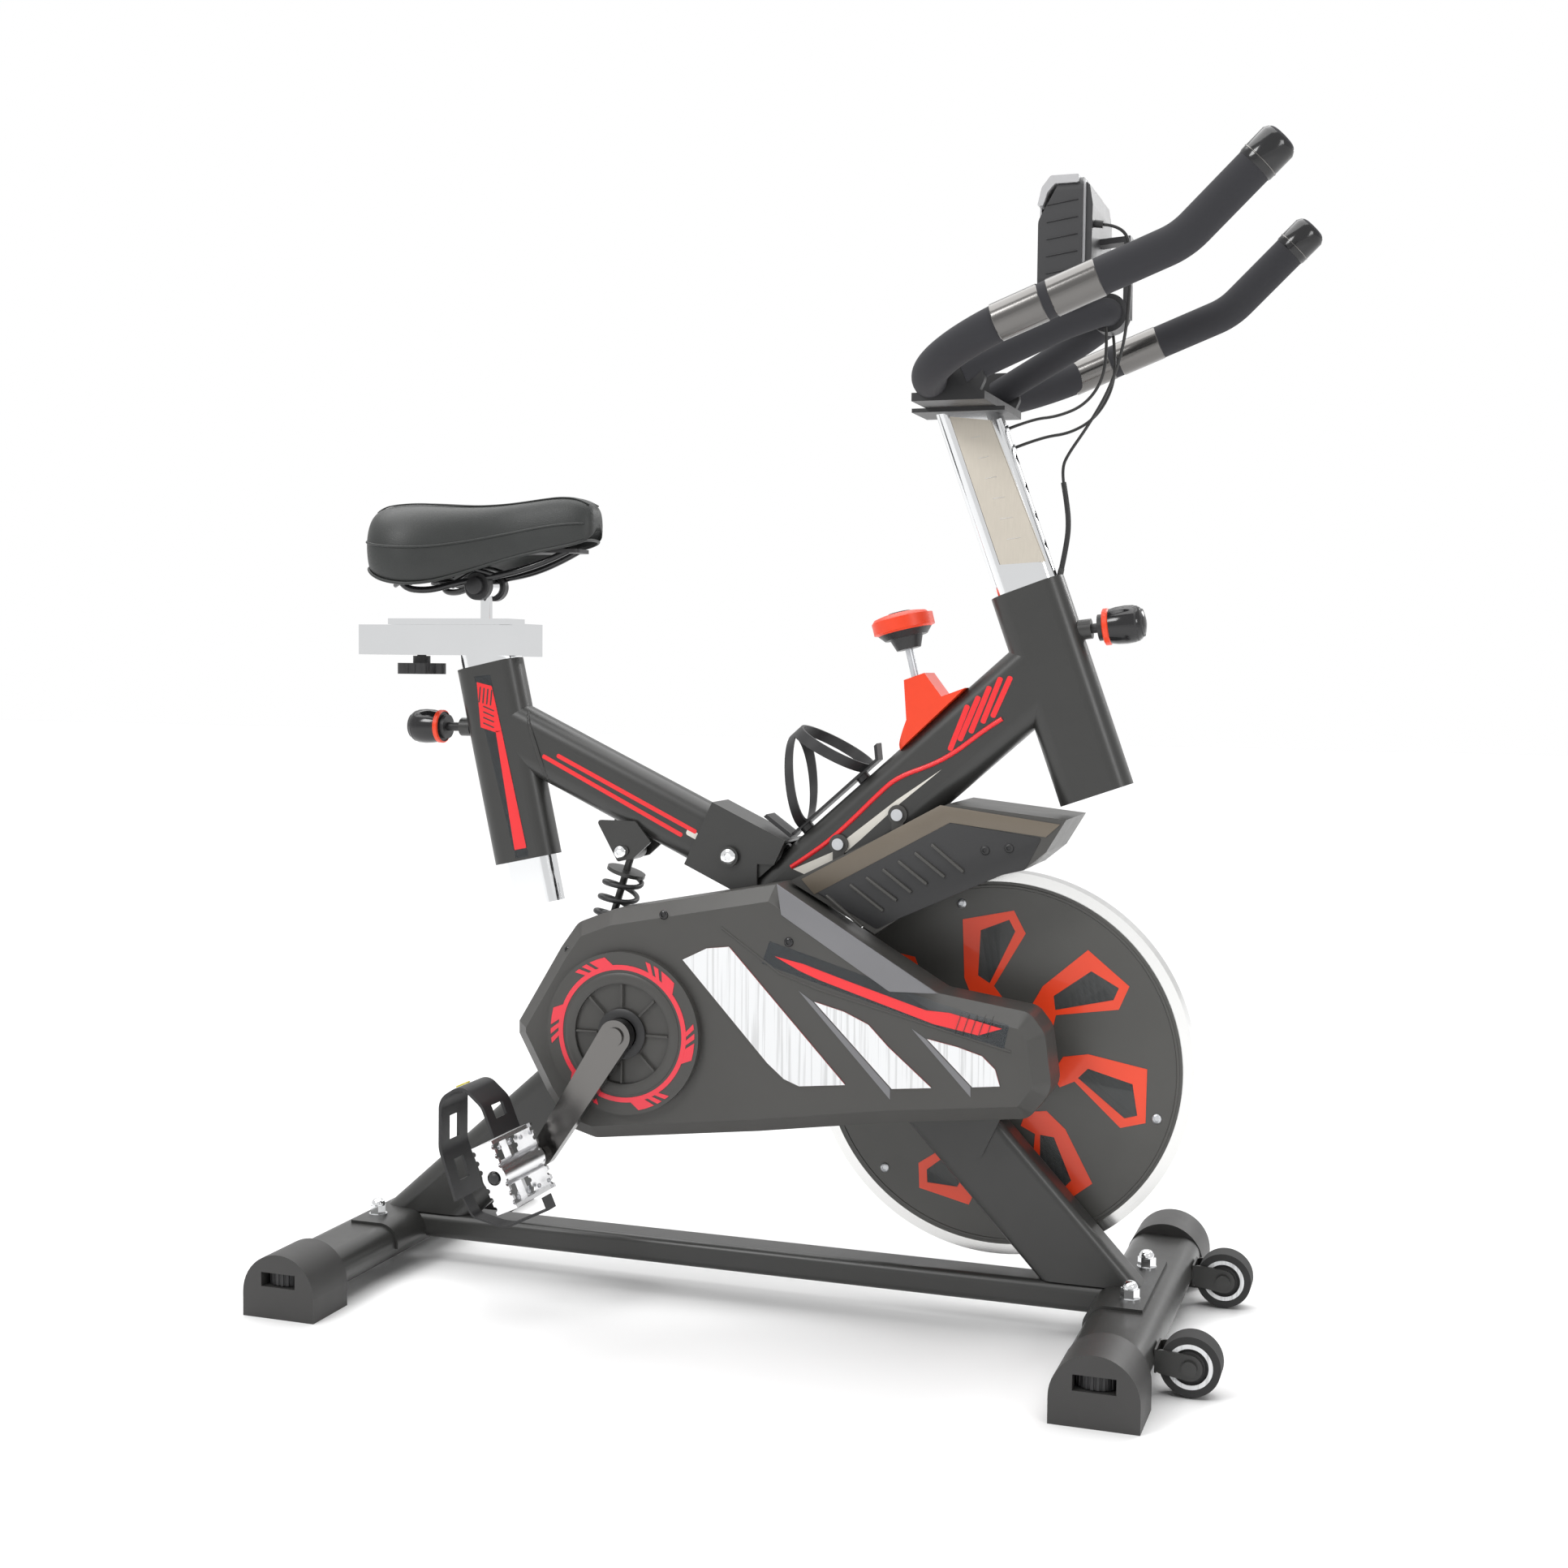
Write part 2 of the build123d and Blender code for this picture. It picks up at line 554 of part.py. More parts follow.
def slider_rail():
    """Channel on the post: open slots above and below guide the carriage and its clamp bolt."""
    top = RAIL_Z + RAIL_H
    rail = block(RAIL_REAR, RAIL_FRONT, -RAIL_HALF_Y, RAIL_HALF_Y, RAIL_Z, top)
    inside = RAIL_HALF_Y - 2.5
    rail -= block(RAIL_REAR - 1, RAIL_FRONT + 1, -inside, inside, RAIL_Z + 2.5, top - 2.5)
    rail -= block(RAIL_REAR - 1, CARRIAGE_FRONT + SLIDE_FORWARD + 1, -10, 10, top - 5, top + 1)
    slot = (KNOB_X - SLIDE_BACK - 7, KNOB_X + SLIDE_FORWARD + 7)
    rail -= block(slot[0], slot[1], -SLOT_HALF, SLOT_HALF, RAIL_Z - 1, RAIL_Z + 4)
    cap = block(RAIL_FRONT - 14, RAIL_FRONT, -RAIL_HALF_Y + 2.5, RAIL_HALF_Y - 2.5, RAIL_Z + 2.5, top - 2.5)
    cap += block(RAIL_FRONT, RAIL_FRONT + 4, -RAIL_HALF_Y - 1, RAIL_HALF_Y + 1, RAIL_Z - 1, top + 1)
    return group(rail, cap)


def saddle_carriage():
    """Sliding plate with a tongue in the channel and the saddle stub on top."""
    top = RAIL_Z + RAIL_H
    seat = top + GAP
    plate = block(CARRIAGE_REAR, CARRIAGE_FRONT, -RAIL_HALF_Y, RAIL_HALF_Y, seat, seat + CARRIAGE_T)
    plate += block(CARRIAGE_REAR, CARRIAGE_FRONT - 16, -9.7, 9.7, RAIL_Z + 10, top + 1)
    tongue = RAIL_HALF_Y - 3
    plate += block(CARRIAGE_REAR, CARRIAGE_FRONT - 16, -tongue, tongue, RAIL_Z + 3, top - 3)
    plate -= rod(vec(KNOB_X, RAIL_Z), vec(KNOB_X, top - 6), KNOB_BOLT_R + GAP)
    stub = rod(vec(STUB_X, top + 2), vec(STUB_X, TILT_AXIS.Z), 6.4)
    barrel = disc(TILT_AXIS, 12.0, -CLAMP_HALF, CLAMP_HALF) - disc(TILT_AXIS, 5.0 + RUN, -30, 30)
    return plate + (stub - disc(TILT_AXIS, 11.0, -30, 30)) + barrel


KNOB_BOLT_R = 5.0


def slider_knob():
    """Star knob whose bolt clamps the carriage from below."""
    lobes = [rod(vec(KNOB_X + 21 * cos(a), 652, 21 * sin(a)), vec(KNOB_X + 21 * cos(a), 664, 21 * sin(a)), 8)
             for a in (2 * pi * k / 6 for k in range(6))]
    knob = rod(vec(KNOB_X, 652), vec(KNOB_X, 664), 23)
    for lobe in lobes:
        knob += lobe
    knob += rod(vec(KNOB_X, 663), vec(KNOB_X, RAIL_Z - 1), 9.5)
    return knob + rod(vec(KNOB_X, 660), vec(KNOB_X, RAIL_Z + 20), KNOB_BOLT_R)


# ------------------------------------------------------------------ saddle
TILT_AXIS = Vector(STUB_X, 0, 748.0)
CLAMP_HALF = 12.0


def saddle_frame():
    """Clamp cheeks on their bolt, two bent rails, and the springs at the rear."""
    clamp = disc(TILT_AXIS, 15.0, CLAMP_HALF + GAP, 25) + disc(TILT_AXIS, 15.0, -25, -CLAMP_HALF - GAP)
    clamp += disc(TILT_AXIS, 5.0, -32, 32) + disc(TILT_AXIS, 9.0, 24, 31) + disc(TILT_AXIS, 9.0, -31, -24)
    rails = []
    for s in (-1, 1):
        route = [(-205, s * 12, 779), (-262, s * 20, 762), (-350, s * 20, 760), (-385, s * 45, 768)]
        rails.append(sweep_round([Vector(*p) for p in route], 14, 3.6))
        coil = Pos(-388, s * 46, 766) * (Cylinder(15, 20) - Cylinder(10, 22))
        rails.append(coil)
    part = clamp
    for piece in rails:
        part += piece
    base = saddle_base()
    return group(part - base, base)


def saddle_plan(length, rear_half, nose_half):
    """Saddle outline from above, rear at x = 0 and nose at x = length."""
    half = [(0, rear_half - 26), (24, rear_half), (84, rear_half - 10), (length - 130, nose_half + 13),
            (length - 16, nose_half), (length, nose_half - 12)]
    radii = [24, 26, 40, 60, 12, 8]
    points = half + [(x, -y) for x, y in reversed(half)]
    return rounded_sketch(points, radii + radii[::-1])


SADDLE_REAR = -450.0
SADDLE_NOSE = -174.0
SADDLE_HALF = 92.0


def saddle_base():
    """Moulded shell under the cushion."""
    plan = saddle_plan(SADDLE_NOSE - SADDLE_REAR - 24, SADDLE_HALF - 14, 20)
    return extrude(Plane((SADDLE_REAR + 12, 0, 781)) * plan, amount=4)


def saddle_cushion():
    """Plain solid of the padded top: wide rear, narrow nose, rounded over."""
    plan = saddle_plan(SADDLE_NOSE - SADDLE_REAR, SADDLE_HALF, 24)
    cushion = extrude(Plane((SADDLE_REAR, 0, 785.3)) * plan, amount=42)
    crown = saddle_plan(SADDLE_NOSE - SADDLE_REAR - 16, SADDLE_HALF - 10, 17)
    return cushion + extrude(Plane((SADDLE_REAR + 8, 0, 785.3)) * crown, amount=54)


# ------------------------------------------------------------------ crank and pedals
def crank_end(side):
    angle = CRANK_ANGLE if side < 0 else CRANK_ANGLE + 180
    return CRANK_AXIS + Vector(CRANK_LENGTH * cos(radians(angle)), 0, CRANK_LENGTH * sin(radians(angle)))


def crank_axle():
    """Axle through both bearings, with the large belt pulley keyed on it."""
    half = CRANK_FACE_Y + CRANK_T - 3
    axle = disc(CRANK_AXIS, AXLE_R, -half, half)
    y0, y1 = BELT_Y - BELT_WIDTH / 2 - 1, BELT_Y + BELT_WIDTH / 2 + 1
    pulley = disc(CRANK_AXIS, DRIVE_PULLEY_R, y0, y1) - disc(CRANK_AXIS, DRIVE_PULLEY_R - 9, y0 - 1, y1 + 1)
    pulley += disc(CRANK_AXIS, DRIVE_PULLEY_R - 6, BELT_Y - 2.5, BELT_Y + 2.5)
    pulley += disc(CRANK_AXIS, 22, y0, y1)
    for k in range(6):
        a = 2 * pi * k / 6
        centre = CRANK_AXIS + Vector(55 * cos(a), 0, 55 * sin(a))
        pulley -= disc(centre, 17, y0 - 1, y1 + 1)
    pulley -= disc(CRANK_AXIS, AXLE_R, y0 - 1, y1 + 1)
    return group(axle, pulley)


def crank_arm(side):
    end = crank_end(side)
    y0 = side * CRANK_FACE_Y
    plane = Plane(origin=(0, y0, 0), x_dir=(1, 0, 0), z_dir=(0, -1, 0))
    sketch = Sketch() + [Pos(CRANK_AXIS.X, CRANK_AXIS.Z) * Circle(17), Pos(end.X, end.Z) * Circle(12.5)]
    arm = extrude(plane * make_hull(sketch.edges()), amount=-side * CRANK_T)
    boss = disc(CRANK_AXIS, 16, side * (CRANK_FACE_Y - 12), side * (CRANK_FACE_Y + 1))
    arm += boss
    arm -= disc(CRANK_AXIS, AXLE_R, -side * 20, side * (CRANK_FACE_Y + CRANK_T - 3))
    nut = disc(CRANK_AXIS, 9.5, side * (CRANK_FACE_Y + CRANK_T), side * (CRANK_FACE_Y + CRANK_T + 3))
    arm -= disc(end, SPINDLE_R, side * (CRANK_FACE_Y - 1), side * (CRANK_FACE_Y + CRANK_T + 1))
    spindle = disc(end, SPINDLE_R, side * CRANK_FACE_Y, side * (PEDAL_Y + 38))
    spindle += disc(end, 9.5, side * (CRANK_FACE_Y + CRANK_T), side * (CRANK_FACE_Y + CRANK_T + 6))
    return arm + nut, spindle


def crank_arms():
    pieces = []
    for side in (-1, 1):
        pieces.extend(crank_arm(side))
    return group(*pieces)


TOE_ANGLE = {-1: 114.2, 1: -78.5}      # toe direction of each pedal at rest
PEDAL_HALF_W = 44.0
PEDAL_HALF_L = 35.0
PEDAL_HALF_T = 12.0


def pedal_plane(side):
    """Local frame at the spindle: X to the toe, Y to the sole side, Z across."""
    end = crank_end(side)
    a = radians(TOE_ANGLE[side])
    return Plane(origin=(end.X, side * PEDAL_Y, end.Z), x_dir=(cos(a), 0, sin(a)), z_dir=(0, -1, 0))


def pedal(side):
    """Alloy cage: barrel on the spindle, two toothed end plates and two cross bars."""
    w, l, t = PEDAL_HALF_W, PEDAL_HALF_L, PEDAL_HALF_T
    body = Cylinder(13, 2 * w)
    for z in (-w + 2, w - 2):
        plate = Pos(0, 0, z) * Box(2 * l, 2 * t, 4)
        for k in range(-3, 4):
            for y in (-t, t):
                plate -= Pos(k * 9.6, y, z) * Cylinder(2.6, 6)
        body += plate
    for x in (-l + 2, l - 2):
        body += Pos(x, 0, 0) * Box(4, 2 * t - 4, 2 * w)
    body += Box(2 * l, 8, 6)
    body -= Cylinder(SPINDLE_R + GAP, 2 * w + 2)
    return pedal_plane(side) * body


def toe_clip(side):
    """Plastic toe clip bent forward and back over the shoe, and its strap."""
    w = 28.0
    route = [(PEDAL_HALF_L + 1, -6), (PEDAL_HALF_L + 34, -7), (96, 6), (92, 34), (46, 55), (-8, 60)]
    band = [Vector(x, y, 0) for x, y in route]
    path = FilletPolyline(*band, radius=[20, 14, 18, 30])
    start = Plane(origin=path @ 0, x_dir=(0, 0, 1), z_dir=path % 0)
    clip = sweep(start * Rectangle(2 * w, 3.0), path=path)
    for x in (62, 20):
        clip -= Pos(x, 50, 0) * Box(22, 40, 20)
    clip -= Pos(60, -8, 0) * Box(14, 16, 24)
    tail = [(-8, 62.5), (-30, 60), (-52, 30), (-50, -22)]
    tail_path = FilletPolyline(*[Vector(x, y, 0) for x, y in tail], radius=[12, 20])
    tail_start = Plane(origin=tail_path @ 0, x_dir=(0, 0, 1), z_dir=tail_path % 0)
    strap = sweep(tail_start * Rectangle(18, 2.0), path=tail_path)
    strap += Pos(-44, -22, 0) * Box(14, 2, 18)
    return pedal_plane(side) * group(clip, strap)


# ------------------------------------------------------------------ flywheel, pulleys and belt
def flywheel():
    """Heavy rim and web on a hub, beside the leg."""
    y0, y1 = FLY_Y, FLY_Y + FLYWHEEL_T
    wheel = disc(FLY_AXIS, FLYWHEEL_R, y0, y1)
    wheel -= disc(FLY_AXIS, 160, y1 - 7, y1 + 1) - disc(FLY_AXIS, 42, y1 - 8, y1 + 2)
    return wheel - disc(FLY_AXIS, FLY_AXLE_R, y0 - 1, y1 + 1)


def flywheel_cover():
    cover = disc(FLY_AXIS, FLYWHEEL_COVER_R, FLY_COVER_Y, FLY_Y)
    return cover - disc(FLY_AXIS, FLY_AXLE_R, FLY_COVER_Y - 1, FLY_Y + 1)


def flywheel_axle():
    """Axle, end nuts and the small pulley."""
    outer = FLY_Y + FLYWHEEL_T
    axle = disc(FLY_AXIS, FLY_AXLE_R, BELT_Y - 16, outer + 12)
    nuts = disc(FLY_AXIS, 12, outer, outer + 8)
    nuts += disc(FLY_AXIS, 12, BELT_Y - BELT_WIDTH / 2 - 8, BELT_Y - BELT_WIDTH / 2 - 1)
    y0, y1 = BELT_Y - BELT_WIDTH / 2 - 1, BELT_Y + BELT_WIDTH / 2 + 1
    pulley = disc(FLY_AXIS, SMALL_PULLEY_R, y0, y1) - disc(FLY_AXIS, FLY_AXLE_R, y0 - 1, y1 + 1)
    return group(axle + nuts, pulley)


def belt_loop(r_big, r_small, y0, y1):
    """Slab between the outer tangents of two circles."""
    plane = Plane(origin=(0, y0, 0), x_dir=(1, 0, 0), z_dir=(0, -1, 0))
    sketch = Sketch() + [Pos(CRANK_AXIS.X, CRANK_AXIS.Z) * Circle(r_big),
                         Pos(FLY_AXIS.X, FLY_AXIS.Z) * Circle(r_small)]
    return extrude(plane * make_hull(sketch.edges()), amount=-(y1 - y0))


def drive_belt():
    y0, y1 = BELT_Y - BELT_WIDTH / 2, BELT_Y + BELT_WIDTH / 2
    outer = belt_loop(DRIVE_PULLEY_R + GAP + BELT_THICK, SMALL_PULLEY_R + GAP + BELT_THICK, y0, y1)
    return outer - belt_loop(DRIVE_PULLEY_R + GAP, SMALL_PULLEY_R + GAP, y0 - 1, y1 + 1)


# ------------------------------------------------------------------ covers
COVER_POINTS = [(-164.0, 396.0), (-126.0, 411.0), (53.0, 445.5), (223.0, 346.0), (314.0, 333.0), (329.0, 314.0),
                (337.0, 259.0), (315.0, 229.0), (175.0, 213.5), (38.0, 193.0), (-143.0, 170.5), (-173.0, 179.0),
                (-199.5, 216.0), (-232.0, 275.0), (-232.0, 288.0), (-183.5, 369.0)]
COVER_RADII = [18, 30, 0, 20, 18, 18, 22, 18, 60, 60, 20, 20, 30, 0, 0, 40]
COVER_WALL = 2.5
COVER_CHAMFER = 15.0
RING_R = 84.0
RING_BORE_R = 18.0


def rounded_sketch(points, radii):
    """Flat outline, some of its corners rounded."""
    sketch = make_face(Polyline(*points, close=True))
    for point, radius in zip(points, radii):
        if radius:
            corner = sketch.vertices().sort_by_distance((point[0], point[1], 0))[0]
            sketch = fillet(corner, radius)
    return sketch


def rounded_face(points, radii, y):
    """Face with an (x, z) outline at one y, some of its corners rounded."""
    return Plane(origin=(0, y, 0), x_dir=(1, 0, 0), z_dir=(0, -1, 0)) * rounded_sketch(points, radii)


def cover_outline(y, inset):
    face = rounded_face(COVER_POINTS, COVER_RADII, y)
    return offset(face, amount=-inset, kind=Kind.INTERSECTION) if inset else face


def belt_cover_outer():
    """Near shell: straight rim, sloped border, flat face, with the ring round the axle."""
    face = cover_outline(COVER_SEAM_Y, 0)
    shell = extrude(face, amount=COVER_SEAM_Y - COVER_FACE_Y, dir=(0, -1, 0))
    rim = shell.faces().sort_by(Axis.Y)[0].edges()
    shell = chamfer(rim, length=COVER_CHAMFER, length2=COVER_CHAMFER)
    inner = cover_outline(COVER_SEAM_Y + 1, COVER_WALL)
    hollow = extrude(inner, amount=COVER_SEAM_Y + 1 - COVER_FACE_Y - COVER_WALL, dir=(0, -1, 0))
    hollow = chamfer(hollow.faces().sort_by(Axis.Y)[0].edges(), length=COVER_CHAMFER)
    shell -= hollow
    shell -= disc(CRANK_AXIS, RING_BORE_R, COVER_FACE_Y - 5, COVER_SEAM_Y)
    ring = disc(CRANK_AXIS, RING_R, COVER_FACE_Y - 9, COVER_FACE_Y) - disc(CRANK_AXIS, RING_BORE_R, -120, -40)
    ring -= disc(CRANK_AXIS, 52, COVER_FACE_Y - 10, COVER_FACE_Y - 6) - disc(CRANK_AXIS, 24, -120, -40)
    return group(shell, ring)


def belt_cover_inner():
    """Far shell, screwed to the frame tubes' near side."""
    face = cover_outline(COVER_BACK_Y, 0)
    shell = extrude(face, amount=COVER_BACK_Y - COVER_SEAM_Y, dir=(0, -1, 0))
    inner = cover_outline(COVER_BACK_Y - COVER_WALL, COVER_WALL)
    shell -= extrude(inner, amount=60, dir=(0, -1, 0))
    shell -= disc(CRANK_AXIS, BB_R + 1, -60, -20)
    return shell - disc(FLY_AXIS, 14, -60, -20)


GUARD_NEAR_Y = -46.0
GUARD_FAR_Y = 62.0
GUARD_T = 2.5
GUARD_BOLTS = [(165.0, 516.0), (103.0, 484.0)]


def guard_half(points, y_wall, y_seam):
    """Side wall and rim of one half of the flywheel guard; the underside is open."""
    y0, y1 = sorted((y_wall, y_seam))
    outer = slab(points, y0, y1)
    face = make_face(Polyline(*[Vector(x, y0, z) for x, z in points], close=True))
    inner = extrude(offset(face, amount=-GUARD_T, kind=Kind.INTERSECTION), amount=y1 - y0, dir=(0, 1, 0))
    shift = GUARD_T if y_wall < y_seam else -GUARD_T
    hollow = Pos(0, shift, 0) * inner
    opening = disc(FLY_AXIS, FLYWHEEL_R + 9, min(y_wall + shift, y_seam), max(y_wall + shift, y_seam))
    return outer - hollow - opening


def brake_guard():
    """Two-piece guard over the brake and the top of the flywheel."""
    near = [(58.5, 446.3), (223.2, 530.5), (341.0, 518.5), (321.6, 486.0), (299.4, 467.6), (261.4, 457.9),
            (216.2, 442.9), (149.6, 397.0)]
    far = [(150.0, 470.0), (223.2, 530.5), (341.0, 518.5), (321.6, 486.0), (299.4, 467.6), (261.4, 464.0),
           (216.2, 455.0), (170.0, 432.0)]
    half_near = guard_half(near, GUARD_NEAR_Y, 0)
    half_far = guard_half(far, GUARD_FAR_Y, 0)
    for x, z in GUARD_BOLTS:
        half_near += disc(vec(x, z), 10, -SIDE - 3, -SIDE)
        half_near += slab([(x - 6, z), (x + 6, z), (x + 6, z - 24), (x - 6, z - 24)], -SIDE - 3, -SIDE)
    halves = []
    for half in (half_near, half_far):
        half -= main_bar()
        half -= head_bar(3)
        half -= rod_bore(8)
        half -= block(0, 300, -44, 60, 380, 470) - disc(FLY_AXIS, 1000, -46, 0)
        halves.append(half.solids().sort_by(SortBy.VOLUME)[-1])
    return group(*halves)


BOOT_POINTS = [(168.9, 652.0), (190.0, 659.5), (208.0, 636.0), (232.0, 645.0), (159.0, 576.0), (172.0, 612.0)]


def knob_boot():
    """Moulded cowl where the brake rod enters the main tube."""
    boot = slab(BOOT_POINTS, -SIDE, SIDE)
    rounded = Plane(origin=ROD_ORIGIN - rod_dir * 130 + Vector(16, 0, 0), x_dir=(0, 1, 0), z_dir=rod_dir)
    boot &= extrude(rounded * RectangleRounded(2 * SIDE, 92, 14), amount=150)
    boot -= main_bar()
    boot -= rod_bore(7.0)
    return boot.solids().sort_by(SortBy.VOLUME)[-1]


# ------------------------------------------------------------------ brake
def ring_sector(r0, r1, y0, y1, centre_angle, half_angle):
    reach = r1 + 40
    a0, a1 = radians(centre_angle - half_angle), radians(centre_angle + half_angle)
    wedge = [(FLY_AXIS.X, FLY_AXIS.Z), (FLY_AXIS.X + reach * cos(a0), FLY_AXIS.Z + reach * sin(a0)),
             (FLY_AXIS.X + reach * cos(a1), FLY_AXIS.Z + reach * sin(a1))]
    return (disc(FLY_AXIS, r1, y0, y1) - disc(FLY_AXIS, r0, y0 - 1, y1 + 1)) & slab(wedge, y0, y1)


PAD_ANGLE = 100.8
PAD_T = 8.0


def brake_rod():
    """Threaded rod through the main tube, the arm over the rim, and the felt pad."""
    r_pad = FLYWHEEL_R + PAD_GAP
    y0, y1 = FLY_Y + 1, FLY_Y + FLYWHEEL_T - 1
    pad = ring_sector(r_pad, r_pad + PAD_T, y0, y1, PAD_ANGLE, 7)
    holder = ring_sector(r_pad + PAD_T, r_pad + PAD_T + 4, -6, y1, PAD_ANGLE, 3.2)
    holder += ring_sector(r_pad + PAD_T, r_pad + PAD_T + 4, y0, y1, PAD_ANGLE, 6.5)
    shaft = rod(ROD_ORIGIN - rod_dir * 193, ROD_ORIGIN + rod_dir * 40, 4.0)
    return group(shaft + holder, pad)


def resistance_knob():
    """Knob: red cap on a stepped black body, turned to set the load, pushed to brake."""
    knob = rod(ROD_ORIGIN + rod_dir * 44, ROD_ORIGIN + rod_dir * 56, 31.5)
    knob += cone(ROD_ORIGIN + rod_dir * 36, ROD_ORIGIN + rod_dir * 44, 22, 29)
    knob += cone(ROD_ORIGIN + rod_dir * 24, ROD_ORIGIN + rod_dir * 36, 12.5, 17)
    return knob - rod(ROD_ORIGIN, ROD_ORIGIN + rod_dir * 41, 4.0 + RUN)


# ------------------------------------------------------------------ bottle cage
CAGE_R = 37.5
CAGE_BASE = 43.0


def bottle_cage():
    """Moulded cage: base strip on two bosses, end hooks, and two slanted hoops."""
    def spot(s, h):
        p = along(MAIN_ORIGIN, main_dir, s, h)
        return (p.X, p.Z)
    top = CAGE_BASE + 3
    base = slab([spot(102, CAGE_BASE), spot(226, CAGE_BASE), spot(226, top), spot(102, top)], -9, 9)
    base += slab([spot(102, CAGE_BASE), spot(106, CAGE_BASE), spot(98, 78), spot(94, 78)], -13, 13)
    base += slab([spot(222, CAGE_BASE), spot(226, CAGE_BASE), spot(236, 57), spot(232, 57)], -9, 9)
    centre = CAGE_BASE + 3 + CAGE_R + 0.4
    start, end = along(MAIN_ORIGIN, main_dir, 90, centre), along(MAIN_ORIGIN, main_dir, 240, centre)
    tube = rod(start, end, CAGE_R + 2.5) - rod(start, end, CAGE_R)
    hoops = slab([spot(112, 40), spot(122, 40), spot(184, 125), spot(172, 125)], -60, 60)
    hoops += slab([spot(206, 40), spot(218, 40), spot(186, 125), spot(174, 125)], -60, 60)
    base += tube & hoops
    for s in (120, 200):
        foot = along(MAIN_ORIGIN, main_dir, s, FRAME_TUBE / 2)
        base += rod(foot, along(MAIN_ORIGIN, main_dir, s, CAGE_BASE + 1), 7)
    return base.solids().sort_by(SortBy.VOLUME)[-1]


# ------------------------------------------------------------------ transport wheels
WHEEL_X = 483.3
WHEEL_Z = 30.0
WHEEL_Y = 135.5
WHEEL_AXLE_R = 4.0


def wheel_bracket(side):
    """U bracket on the stabiliser's front face, with the wheel's axle."""
    axis = vec(WHEEL_X, WHEEL_Z)
    y = side * WHEEL_Y
    face = STAB_X + STAB_OVAL_W / 2
    gap = WHEEL_T / 2 + 1.0
    bracket = block(face, face + 2.0, y - gap - 2.5, y + gap + 2.5, STAB_Z - 12, STAB_Z + 10)
    for y0 in (y - gap - 2.5, y + gap):
        plane = Plane(origin=(0, y0, 0), x_dir=(1, 0, 0), z_dir=(0, -1, 0))
        spots = [(axis, 12.0), (vec(face + 6, STAB_Z + 4), 6.0), (vec(face + 6, STAB_Z - 6), 6.0)]
        sketch = Sketch() + [Pos(c.X, c.Z) * Circle(r) for c, r in spots]
        bracket += extrude(plane * make_hull(sketch.edges()), amount=-2.5)
    bracket -= disc(axis, WHEEL_AXLE_R, y - 30, y + 30)
    axle = disc(axis, WHEEL_AXLE_R, y - gap - 5, y + gap + 5)
    axle += disc(axis, 7, y - gap - 6, y - gap - 2.5) + disc(axis, 7, y + gap + 2.5, y + gap + 6)
    return bracket - stab_bar(STAB_X, 230), axle


def transport_wheel(side):
    axis = vec(WHEEL_X, WHEEL_Z)
    y0, y1 = side * WHEEL_Y - WHEEL_T / 2, side * WHEEL_Y + WHEEL_T / 2
    wheel = disc(axis, WHEEL_R, y0, y1)
    wheel -= disc(axis, 19, y0 - 1, y0 + 2) - disc(axis, 14, y0 - 2, y0 + 3)
    return wheel - disc(axis, WHEEL_AXLE_R + RUN, y0 - 1, y1 + 1)


# ------------------------------------------------------------------ handlebar
PLATE_Z = 917.0
POST_INSERT = 130.0
POST_TOP = HEAD_BOTTOM + head_dir * ((PLATE_Z - HEAD_BOTTOM.Z) / head_dir.Z)
BAR_BASE = Vector(207.0, 0, 940.0)
BEND = Vector(459.0, 0, 1038.0)
GRIP = Vector(537.0, 0, 1115.0)
INNER_START = Vector(238.0, 0, 947.0)
EAR_Y = 74.0
EAR_T = 9.0


POST_OUTLINE = section(POST_TUBE, POST_THICK, POST_CORNER)


def handlebar_post():
    bottom = HEAD_TOP - head_dir * POST_INSERT
    tube = oval_tube(bottom, POST_TOP + head_dir * 60, POST_TUBE, POST_THICK, POST_CORNER)
    tube &= block(0, 600, -60, 60, 300, PLATE_Z)
    for hole in post_holes(FRONT_PIN_ROOT, front_pin_dir, head_dir, -1, 6, POST_HOLE_PITCH):
        tube -= hole
    tube = tube.solids().sort_by(SortBy.VOLUME)[-1]
    grommets = [post_grommet(points) - bar(bottom, POST_TOP, POST_OUTLINE) for points in
                (PULSE_WIRE_RIGHT, PULSE_WIRE_LEFT)]
    return group(tube, *grommets)


def handlebar_clamp():
    """Chromed top plate, black cradle and the two end lugs that hold both bars."""
    plate = block(176, 270, -30, 30, PLATE_Z, PLATE_Z + 4)
    cradle = block(190, 262, -EAR_Y - EAR_T, EAR_Y + EAR_T, PLATE_Z + 4, PLATE_Z + 12)
    for s in (-1, 1):
        y0, y1 = sorted((s * EAR_Y, s * (EAR_Y + EAR_T)))
        ear = [(222, PLATE_Z + 6), (222, 968), (256, 968), (262, 940), (254, PLATE_Z + 6)]
        cradle += slab(ear, y0, y1, [1, 4, 8, 8, 1])
        y0, y1 = sorted((s * 22, s * 44))
        cradle += disc(BAR_BASE, BAR_R + 6, y0, y1) & block(150, 300, -60, 60, PLATE_Z + 5, 990)
    cradle -= bar_solid()
    cradle -= inner_solid()
    return group(plate, cradle.solids().sort_by(SortBy.VOLUME)[-1])


def bar_path():
    w = BAR_HALF_WIDTH
    return [Vector(GRIP.X, -w, GRIP.Z), Vector(BEND.X, -w, BEND.Z), Vector(BAR_BASE.X, -w, BAR_BASE.Z),
            Vector(BAR_BASE.X, w, BAR_BASE.Z), Vector(BEND.X, w, BEND.Z), Vector(GRIP.X, w, GRIP.Z)]


def bar_solid():
    return sweep_round(bar_path(), [70, 118, 118, 70], BAR_R)


